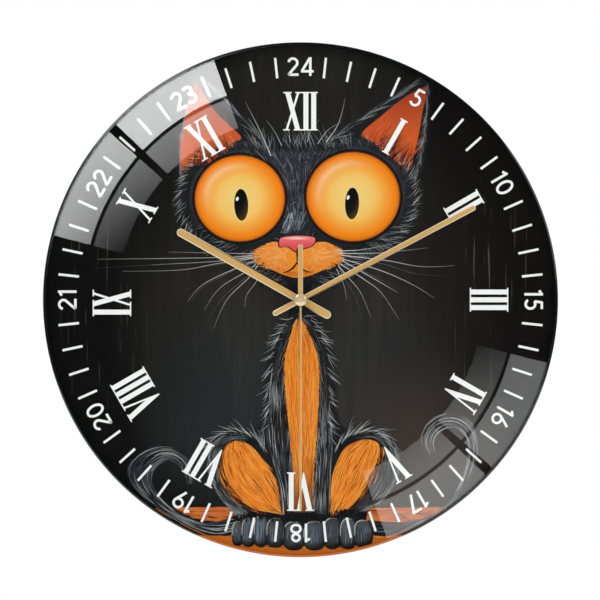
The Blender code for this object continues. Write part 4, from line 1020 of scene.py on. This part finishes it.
def turned(points, degrees, radius):
    # points drawn about the middle of a mark at twelve, moved round the dial
    a = -math.radians(degrees)
    c, s = math.cos(a), math.sin(a)
    return [(x * c - (z + radius) * s, x * s + (z + radius) * c) for x, z in points]


for minute in range(60):
    if minute % 5:
        half = marks["tickWidth"] / 2
        numerals.quad(turned([(-half, marks["tickIn"]), (half, marks["tickIn"]),
                              (half, marks["tickOut"]), (-half, marks["tickOut"])],
                             minute * 6, 0), marks["level"], inkWhite)

pen = marks["digitStroke"] / marks["digitHeight"] / 2
# each digit's width and strokes, in a box one unit tall; pen is half a stroke's width
digits = {
    "0": (0.66, [ringPath(0.33, 0.5, 0.33 - pen, 0.5 - pen, 90, 450, 40)]),
    "1": (0.36, [[(0.25, 0), (0.25, 1)], [(0.27, 0.93), (0.04, 0.80)]]),
    "2": (0.60, [ringPath(0.30, 0.70, 0.235, 0.30 - pen, 170, -28, 20)
                 + [(0.06, pen), (0.08, pen), (0.60, pen)]]),
    "3": (0.60, [ringPath(0.28, 0.735, 0.20, 0.265 - pen, 155, -90, 20),
                 ringPath(0.28, 0.285, 0.245, 0.285 - pen, 90, -155, 22),
                 [(0.20, 0.555), (0.29, 0.555)]]),
    "4": (0.68, [[(0.50, 0), (0.50, 1)], [(0.48, 0.97), (0.06, 0.275)],
                 [(0.0, 0.25), (0.68, 0.25)]]),
    "5": (0.60, [[(0.55, 1 - pen), (0.165, 1 - pen)], [(0.20, 0.96), (0.135, 0.55)],
                 ringPath(0.285, 0.325, 0.24, 0.325 - pen, 128, -150, 26)]),
    "6": (0.62, [ringPath(0.31, 0.30, 0.31 - pen, 0.30 - pen, 0, 360, 36),
                 [(0.44, 1.0), (0.105, 0.43)]]),
    "7": (0.58, [[(0.0, 1 - pen), (0.57, 1 - pen)], [(0.50, 0.95), (0.15, 0.0)]]),
    "8": (0.60, [ringPath(0.30, 0.745, 0.195, 0.255 - pen, 0, 360, 32),
                 ringPath(0.30, 0.275, 0.245, 0.275 - pen, 0, 360, 36)]),
    "9": (0.62, [ringPath(0.31, 0.70, 0.31 - pen, 0.30 - pen, 0, 360, 36),
                 [(0.18, 0.0), (0.515, 0.57)]])}
gap = 0.13
tall = marks["digitHeight"]
for hour, text in enumerate("24 5 10 15 16 17 18 19 20 21 22 23".split()):
    span = (sum(digits[c][0] for c in text) + gap * (len(text) - 1)) * tall
    start = -span / 2
    for c in text:
        wide, paths = digits[c]
        for above, path in enumerate(paths):
            spots = turned([(start + x * tall, (z - 0.5) * tall) for x, z in path],
                           hour * 30, marks["digitRadius"])
            numerals.stroke(spots, lambda share: marks["digitStroke"], marks["level"] + above,
                            (inkWhite, inkWhite))
        start += (wide + gap) * tall


legLow, legTop = 0.1, marks["romanHeight"] - 0.1    # where legs end, inside the serifs
highSerif = marks["romanHeight"] - marks["serif"]


def slab(x, z, width):
    # a flat serif centred on x, with its lower edge on z
    half = width / 2
    return [(x - half, z), (x + half, z), (x + half, z + marks["serif"]),
            (x - half, z + marks["serif"])]


def leg(xLow, xHigh, width):
    half = width / 2
    return [(xLow - half, legLow), (xLow + half, legLow), (xHigh + half, legTop),
            (xHigh - half, legTop)]


# each letter's strokes, from its left edge or, for I, from its middle
def romanI(x):
    return [leg(x, x, marks["stem"]), slab(x, 0, marks["serifWidth"]),
            slab(x, highSerif, marks["serifWidth"])]


def romanV(x):
    point = [(x + 5.7, legLow), (x + 5.7 + 0.7, legLow)]
    return [point + [(x + 7.36, 6.3), (x + 3.9, legTop), (x + 0.9, legTop)],
            point + [(x + 9.85, legTop), (x + 8.55, legTop)],
            slab(x + 2.4, highSerif, 4.9), slab(x + 9.2, highSerif, 3.6)]


def romanX(x):
    return [leg(x + 8.6, x + 2.5, marks["stem"]), leg(x + 1.9, x + 8.9, marks["hairline"]),
            slab(x + 2.5, highSerif, 4.9), slab(x + 9.0, highSerif, 3.9),
            slab(x + 8.5, 0, 4.9), slab(x + 1.9, 0, 3.9)]


# how each letter is drawn, its width, and the x it is drawn from
romanParts = {"I": (romanI, 4.8, 2.4), "V": (romanV, 11.1, 0), "X": (romanX, 11.1, 0)}
overlap = 0.25    # of one letter on the next
nudges = {"VI": (0, 1.9), "IX": (-1.75, 0), "XI": (-1.35, -0.35)}    # set a little off their hour
for hour, text in enumerate("XII I II III IV V VI VII VIII IX X XI".split()):
    places, reach = [], 0.0
    for c in text:
        places.append((c, reach))
        reach += romanParts[c][1] - overlap
    span = reach + overlap
    side, rise = nudges.get(text, (0, 0))
    for c, at in places:
        draw, wide, middleX = romanParts[c]
        for above, corners in enumerate(draw(at - span / 2 + middleX)):
            moved = [(x + side, z) for x, z in corners]
            numerals.quad(turned(moved, hour * 30, marks["romanIn"] + rise),
                          marks["level"] + above, inkWhite)
numerals.piece("dial_numerals", whiteInk)
print("numerals set")

# glass disc
pane = {"radius": 150.0, "hole": 3.8, "chamfer": 1.0, "steps": 288, "clearTo": 148.3}
front, back = (depth / mm for depth in near("glass_dial"))
chamfer = pane["chamfer"]
flat = [pane["hole"], 40.0, 100.0, 140.0, pane["clearTo"], pane["radius"] - chamfer]
edge = [(pane["radius"] - chamfer * share, chamfer * fall)
        for share, fall in ((0.45, 0.28), (0.1, 0.72), (0.0, 1.3))]
profile = [(reach, front) for reach in flat]
profile += [(reach, front - fall) for reach, fall in edge]
profile += [(reach, back + fall) for reach, fall in reversed(edge)]
profile += [(reach, back) for reach in reversed(flat)]

glassFace = Finish("clearGlass")
gloss = glassFace.add("BsdfGlossy", sockets={"Color": (1, 1, 1), "Roughness": 0.0})
clear = glassFace.add("BsdfTransparent", sockets={"Color": (0.985, 0.995, 0.99)})
facing = glassFace.add("LayerWeight", sockets={"Blend": 0.5}, output=1)
gleam = 0.04 + 0.96 * facing ** 5.0    # a polished surface mirrors more at a slant
smear = glassFace.noise(18.0, 3.0)
joined = glassFace.add("MixShader", sockets={0: gleam * (0.96 + 0.08 * smear), 1: clear,
                                             2: gloss})
glassFace.tree.links.new(joined.socket, glassFace.end.inputs[0])
glassRim = Finish("groundRim", {"Coat Weight": 0.6, "Coat Roughness": 0.08, "IOR": 1.5})
around = glassRim.noise(700.0, 3.0, (1.0, 3.0, 1.0))
atGround = (-0.1365 - glassRim.axes()[2]).above(0.0, 0.0012)    # where the rim shows the ground
rimDark = glassRim.mix(around, srgb(4, 8, 8), srgb(14, 26, 24))
glassRim.set({"Base Color": glassRim.mix(atGround, rimDark, srgb(176, 92, 26)),
              "Roughness": 0.10 + 0.12 * around})
bm = spin([(p[0] * mm, -p[1] * mm) for p in profile], pane["steps"])
for face in bm.faces:
    middleRing = face.calc_center_median()
    if math.hypot(middleRing.x, middleRing.z) > pane["clearTo"] * mm:
        face.material_index = 1
finishMesh("glass_disc", bm, (glassFace, glassRim), "clock_body", "glass_dial",
           20)

# hands
goldTone = Finish("brushedGold", {"Metallic": 0.35, "IOR": 1.45, "Specular IOR Level": 0.4})
grain = goldTone.noise(1400.0, 4.0, (1.0, 1.0, 1.0), 0.7)
cloud = goldTone.noise(60.0, 2.0)
goldTone.set({"Base Color": goldTone.mix(grain, srgb(206, 162, 96), srgb(232, 190, 122)),
              "Roughness": 0.42 + 0.12 * cloud,
              "Normal": goldTone.bump(grain, 0.00002, 0.4)})
edgeTone = Finish("goldEdge", {"Metallic": 0.35, "IOR": 1.45})
edgeTone.set({"Base Color": edgeTone.mix(edgeTone.noise(900.0, 3.0), srgb(232, 212, 168),
                                         srgb(246, 232, 200)),
              "Roughness": 0.30 + 0.10 * edgeTone.noise(500.0, 2.0)})


handSteps = {"end": 14, "eye": 12}    # of each rounded end, and of each side of the eye


def handPiece(name, node, body, settings):
    # a flat hand with bevelled edges: outer outline low, inner outline raised
    frontDepth, backDepth = near(node)
    angle = -math.radians(settings["angle"])
    ca, sa = math.cos(angle), math.sin(angle)

    def outline(inset):
        tip = settings["tipWidth"] / 2 - inset
        end = settings["tailWidth"] / 2 - inset
        eye = settings["eye"] - inset
        long, tail = settings["length"] - inset, settings["tail"] - inset
        meetTip, meetEnd = math.asin(tip / eye), math.asin(end / eye)
        endRise = end * settings["roundTail"]
        spots = []
        for half, rise, middle, begin in ((tip, tip, long - tip, 0.0),
                                          (end, endRise, -tail + endRise, math.pi)):
            for i in range(handSteps["end"] + 1):
                a = begin + math.pi * i / handSteps["end"]
                spots.append((half * math.cos(a), middle + rise * math.sin(a)))
            begin = math.pi / 2 + meetTip if begin == 0.0 else -math.pi / 2 + meetEnd
            for i in range(handSteps["eye"] + 1):
                a = begin + (math.pi - meetTip - meetEnd) * i / handSteps["eye"]
                spots.append((eye * math.cos(a), eye * math.sin(a)))
        return [(x * ca - z * sa, x * sa + z * ca) for x, z in spots]

    bm = bmesh.new()
    around = 2 * (handSteps["end"] + handSteps["eye"] + 2)
    turns = [2 * math.pi * i / around + angle for i in range(around)]
    hole = [(settings["hole"] * math.cos(a), settings["hole"] * math.sin(a)) for a in turns]
    edgeDepth = frontDepth - settings["fall"] * mm
    loops = [[bm.verts.new((x * mm, -depth, z * mm)) for x, z in ring] for ring, depth in (
        (outline(0.0), backDepth), (outline(0.0), edgeDepth),
        (outline(settings["bevel"]), frontDepth), (hole, frontDepth), (hole, backDepth))]
    loops.append(loops[0])
    for number, (first, second) in enumerate(zip(loops, loops[1:])):
        for i in range(around):
            j = (i + 1) % around
            face = bm.faces.new((first[i], first[j], second[j], second[i]))
            face.material_index = 1 if number < 2 else 0    # the side and its bevel are paler
    bmesh.ops.recalc_face_normals(bm, faces=bm.faces)
    finishMesh(name, bm, (goldTone, edgeTone), body, node, 25)


handPiece("hour_hand_bevelled", "hour_hand", "hours", {
    "angle": 299.3, "length": 82.0, "tail": 20.0, "tipWidth": 4.7, "tailWidth": 4.7, "eye": 3.4,
    "hole": 2.6, "bevel": 0.55, "fall": 0.25, "roundTail": 1.0})
handPiece("minute_hand_bevelled", "minute_hand", "minutes", {
    "angle": 62.0, "length": 114.8, "tail": 18.1, "tipWidth": 3.2, "tailWidth": 3.2, "eye": 2.7,
    "hole": 1.6, "bevel": 0.45, "fall": 0.25, "roundTail": 1.0})
handPiece("second_hand_fine", "second_hand", "seconds", {
    "angle": 180.0, "length": 122.0, "tail": 32.0, "tipWidth": 1.2, "tailWidth": 2.8, "eye": 2.2,
    "hole": 0.6, "bevel": 0.18, "fall": 0.12, "roundTail": 0.25})

cap = {"radius": 3.7, "lip": 0.45, "steps": 12}
capFront, capBack = near("second_hand_cap")
capGold = Finish("paleGoldDome", {"Metallic": 0.45, "Coat Weight": 0.5, "Coat Roughness": 0.06})
capGold.set({"Base Color": capGold.mix(capGold.noise(800.0, 2.0), srgb(222, 200, 150),
                                       srgb(242, 226, 186)),
             "Roughness": 0.16 + 0.08 * capGold.noise(300.0, 2.0)})
high = (capFront - capBack) - cap["lip"] * mm
dome = [(0.0, -capBack), (cap["radius"] * 0.96 * mm, -capBack),
        (cap["radius"] * mm, -capBack - 0.1 * mm),
        (cap["radius"] * mm, -capBack - cap["lip"] * mm)]
for i in range(1, cap["steps"] + 1):
    a = math.pi / 2 * i / cap["steps"]
    dome.append((cap["radius"] * math.cos(a) * mm if i < cap["steps"] else 0.0,
                 -capBack - cap["lip"] * mm - high * math.sin(a)))
finishMesh("centre_cap_dome", spin(dome, 64, closed=False), [capGold], "seconds",
           "second_hand_cap", 25)
print("hands and cap made")

# finishes of the pieces that keep their CAD shape
def moulded(name, low, high, rough=0.5, grain=1800.0, depth=0.00006):
    finish = Finish(name, {"IOR": 1.48})
    speck = finish.noise(grain, 3.0)
    patch = finish.noise(35.0, 3.0)
    finish.set({"Base Color": finish.mix(patch * 0.7 + speck * 0.3, low, high),
                "Roughness": rough + 0.14 * patch,
                "Normal": finish.bump(speck, depth, 0.6)})
    return finish


def metal(name, low, high, rough=0.3, stretch=(1, 1, 1), grain=900.0, metallic=1.0):
    finish = Finish(name, {"Metallic": metallic})
    line = finish.noise(grain, 4.0, stretch, 0.65)
    patch = finish.noise(45.0, 3.0)
    finish.set({"Base Color": finish.mix(line * 0.6 + patch * 0.4, low, high),
                "Roughness": rough + 0.16 * line,
                "Normal": finish.bump(line, 0.00002, 0.5)})
    return finish


blackCase = moulded("mouldedBlack", srgb(20, 20, 22), srgb(34, 34, 37), 0.42)
whiteAcetal = moulded("whiteAcetal", srgb(218, 214, 200), srgb(236, 233, 224), 0.4)
amberNylon = moulded("amberNylon", srgb(190, 146, 84), srgb(214, 172, 108), 0.4)
softFoam = moulded("softFoam", srgb(16, 16, 17), srgb(44, 44, 46), 0.85, 900.0, 0.0003)
boardGreen = moulded("boardLacquer", srgb(16, 66, 34), srgb(32, 96, 52), 0.3, 500.0, 0.00003)
turnedBrass = metal("turnedBrass", srgb(176, 136, 66), srgb(216, 178, 100), 0.24, (1, 6, 1))
platedSteel = metal("platedSteel", srgb(150, 152, 156), srgb(196, 198, 202), 0.3, (1, 1, 0.1))
satinBlack = metal("satinBlackNut", srgb(10, 10, 11), srgb(30, 30, 32), 0.3, (1, 4, 1), 600.0, 0.6)
darkMagnet = metal("darkMagnet", srgb(52, 52, 56), srgb(86, 86, 92), 0.35)
copperWire = metal("copperWinding", srgb(150, 66, 28), srgb(214, 120, 62), 0.3, (1, 1, 40), 120.0)
finishes = {
    "black_plastic": blackCase, "white_plastic": whiteAcetal, "amber_plastic": amberNylon,
    "foam": softFoam, "circuit_board": boardGreen, "brass_turned": turnedBrass,
    "plated_steel": platedSteel, "black_metal": satinBlack, "magnet": darkMagnet,
    "copper_wire": copperWire, "brushed_gold": goldTone, "gold_cap": capGold,
    "dial_print": inkFinish, "dial_glass": glassRim}
slotOf = {part["node"]: part["material_slot"] for part in frame["record"]["subparts"]}
for name, node in nodes.items():
    finish = finishes.get(slotOf.get(name))
    if finish is not None:
        node.data.materials.clear()
        node.data.materials.append(finish.material)
softEdges = {"case_front": 0.8, "back_cover": 0.35, "hanger_plate": 0.3, "wall_pad_left": 1.2,
             "wall_pad_right": 1.2, "setting_knob": 0.15}
for name, width in softEdges.items():
    bevel = nodes[name].modifiers.new("softEdge", "BEVEL")
    bevel.width = width * mm
    bevel.segments = 3
    bevel.limit_method = "ANGLE"
    bevel.angle_limit = math.radians(50)
print("finishes set")

# battery with a plain two-tone sleeve
cell = {"radius": 7.1, "band": 0.70, "nubRadius": 2.7, "nubLength": 1.2, "sleeveFrom": 6.6}
low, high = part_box("battery_cell")
cellY, cellZ = (low[1] + high[1]) / 2, (low[2] + high[2]) / 2
x0, x1 = low[0] / mm, high[0] / mm
bodyEnd = x1 - cell["nubLength"]
sleeve = Finish("cellSleeve", {"IOR": 1.5, "Coat Weight": 0.5, "Coat Roughness": 0.12})
inCopper = sleeve.axes()[0].above((x0 + (x1 - x0) * cell["band"]) * mm, 0.0001)
speck = sleeve.noise(1200.0, 3.0)
sleeve.set({
    "Base Color": sleeve.mix(inCopper,
                             sleeve.mix(speck, srgb(20, 20, 22), srgb(32, 32, 35)),
                             sleeve.mix(speck, srgb(176, 110, 52), srgb(198, 134, 72))),
    "Metallic": 0.15 + 0.6 * inCopper, "Roughness": 0.25 + 0.1 * speck})
canEnd = metal("cellEnd", srgb(164, 166, 170), srgb(206, 208, 212), 0.22, (4, 1, 1))
can, nub = cell["radius"], cell["nubRadius"]
profile = [(0.0, x0 + 0.25), (4.6, x0 + 0.25), (5.2, x0), (6.2, x0), (6.7, x0 + 0.35),
           (can - 0.1, x0 + 0.5), (can, x0 + 0.9), (can, bodyEnd - 0.9),
           (can - 0.15, bodyEnd - 0.4), (6.4, bodyEnd - 0.1), (5.9, bodyEnd - 0.5),
           (4.0, bodyEnd - 0.6), (nub + 0.1, bodyEnd - 0.35), (nub, bodyEnd), (nub, x1 - 0.3),
           (nub - 0.4, x1), (0.0, x1)]
bm = spin([(a * mm, b * mm) for a, b in profile], 72, "X", (0, cellY, cellZ), False)
for face in bm.faces:
    spot = face.calc_center_median()
    reach = math.hypot(spot.y - cellY, spot.z - cellZ)
    face.material_index = 0 if reach > cell["sleeveFrom"] * mm else 1
finishMesh("battery_sleeved", bm, (sleeve, canEnd), "battery", "battery_cell")
print("battery made")

# floor, light and camera
camera = {"distance": 1500.0, "frameWidth": 349.2, "shiftX": -0.29, "shiftZ": -0.12,
          "sensor": 36.0}
floor = {"radius": 1.15, "below": 0.36, "segments": 96}    # metres
floorFinish = Finish("paleFloor", {"Roughness": 0.9})
floorFinish.set({"Base Color": floorFinish.mix(floorFinish.noise(3.0, 2.0), (0.80, 0.80, 0.80),
                                               (0.84, 0.84, 0.84))})
bm = bmesh.new()
bmesh.ops.create_circle(bm, cap_ends=True, segments=floor["segments"], radius=floor["radius"])
for vert in bm.verts:
    vert.co.z = -floor["below"]
addObject("floor", meshFrom("floor", bm, [floorFinish]))

# window-like light panels, seen only as reflections in the glass
glassFront = near("glass_dial")[0]
eyeY = -(glassFront + camera["distance"] * mm)
panels = {"beyond": 500.0, "cells": (8, 24), "bandOut": (126.5, 149.5), "bandIn": (106.5, 124.4),
          "left": ((284.7, 311.3), (313.6, 340.2)), "right": ((104.3, 131.1), (133.3, 160.0))}
scale = (2 * camera["distance"] + panels["beyond"]) / camera["distance"]
panelY = -(glassFront + (camera["distance"] + panels["beyond"]) * mm)


def panelFinish(name, strength):
    finish = Finish(name)
    tone = finish.add("VertexColor", {"layer_name": "level"})
    glow = finish.add("Emission", sockets={"Color": tone, "Strength": strength})
    finish.tree.links.new(glow.socket, finish.end.inputs[0])
    return finish


def bandPanel(name, angles, radii, levels, strength):
    # levels: inner edge and outer edge at the first angle, then at the second
    mesh = bpy.data.meshes.new(name)
    spots, tones, faces = [], [], []
    across, count = panels["cells"]
    for i in range(count + 1):
        turn = i / count
        a = math.radians(angles[0] + (angles[1] - angles[0]) * turn)
        for k in range(across + 1):
            share = k / across
            reach = (radii[0] + (radii[1] - radii[0]) * share) * scale * mm
            spots.append((reach * math.sin(a), panelY, reach * math.cos(a)))
            first = levels[0] + (levels[1] - levels[0]) * share
            last = levels[2] + (levels[3] - levels[2]) * share
            tones.append(first + (last - first) * turn)
    for i in range(count):
        for k in range(across):
            a = i * (across + 1) + k
            faces.append((a, a + 1, a + across + 2, a + across + 1))
    mesh.from_pydata(spots, [], faces)
    layer = mesh.color_attributes.new("level", "FLOAT_COLOR", "POINT")
    for item, tone in zip(layer.data, tones):
        item.color = (tone, tone, tone, 1.0)
    mesh.materials.append(panelFinish(name + "Light", strength).material)
    panel = addObject(name, mesh)
    panel.visible_camera = False
    panel.visible_diffuse = False
    panel.visible_shadow = False


panelGlow = {
    "left": (((0.38, 0.66, 0.76, 0.90), (0.015, 0.10, 0.14, 0.30)),
             ((1.0, 1.1, 1.12, 1.12), (0.20, 0.36, 0.22, 0.38))),
    "right": (((0.70, 0.78, 0.95, 1.0), (0.06, 0.20, 0.55, 0.75)),
              ((1.05, 1.15, 0.95, 1.05), (0.45, 0.85, 0.55, 0.70)))}
for place, strength in (("left", 7.4), ("right", 2.0)):
    for number, angles in enumerate(panels[place]):
        out, inside = panelGlow[place][number]
        bandPanel("window_%s_out_%d" % (place, number), angles, panels["bandOut"], out, strength)
        bandPanel("window_%s_in_%d" % (place, number), angles, panels["bandIn"], inside, strength)

world = bpy.data.worlds.new("studio")
bpy.context.scene.world = world
world.use_nodes = True
tree = world.node_tree
tree.nodes.clear()
ray = tree.nodes.new("ShaderNodeLightPath")
choose = tree.nodes.new("ShaderNodeMixShader")
tree.links.new(ray.outputs["Is Glossy Ray"], choose.inputs[0])
for place, strength in ((1, 1.0), (2, 0.02)):    # a white room that reflections show dim
    sky = tree.nodes.new("ShaderNodeBackground")
    sky.inputs["Color"].default_value = (1, 1, 1, 1)
    sky.inputs["Strength"].default_value = strength
    tree.links.new(sky.outputs[0], choose.inputs[place])
tree.links.new(choose.outputs[0], tree.nodes.new("ShaderNodeOutputWorld").inputs[0])


def softBox(name, place, size, power):
    lamp = bpy.data.lights.new(name, "AREA")
    lamp.size = size
    lamp.energy = power
    item = addObject(name, lamp)
    item.location = place
    item.rotation_euler = (-Vector(place)).to_track_quat("-Z", "Y").to_euler()


softBox("key_light", (-1.1, -0.9, 1.3), 0.7, 7.0)
softBox("fill_light", (1.3, -0.9, 0.5), 0.8, 3.0)
softBox("back_light", (0.9, 1.2, 1.0), 0.9, 10.0)

lens = bpy.data.cameras.new("camera")
lens.sensor_width = camera["sensor"]
lens.lens = camera["sensor"] * camera["distance"] / camera["frameWidth"]
lens.clip_start = 0.01
lens.clip_end = 20.0
eye = addObject("camera", lens)
eye.location = (camera["shiftX"] * mm, eyeY, camera["shiftZ"] * mm)
eye.rotation_euler = (math.pi / 2, 0, 0)
bpy.context.scene.camera = eye
bpy.context.scene.view_settings.view_transform = "Standard"
print("stage set")
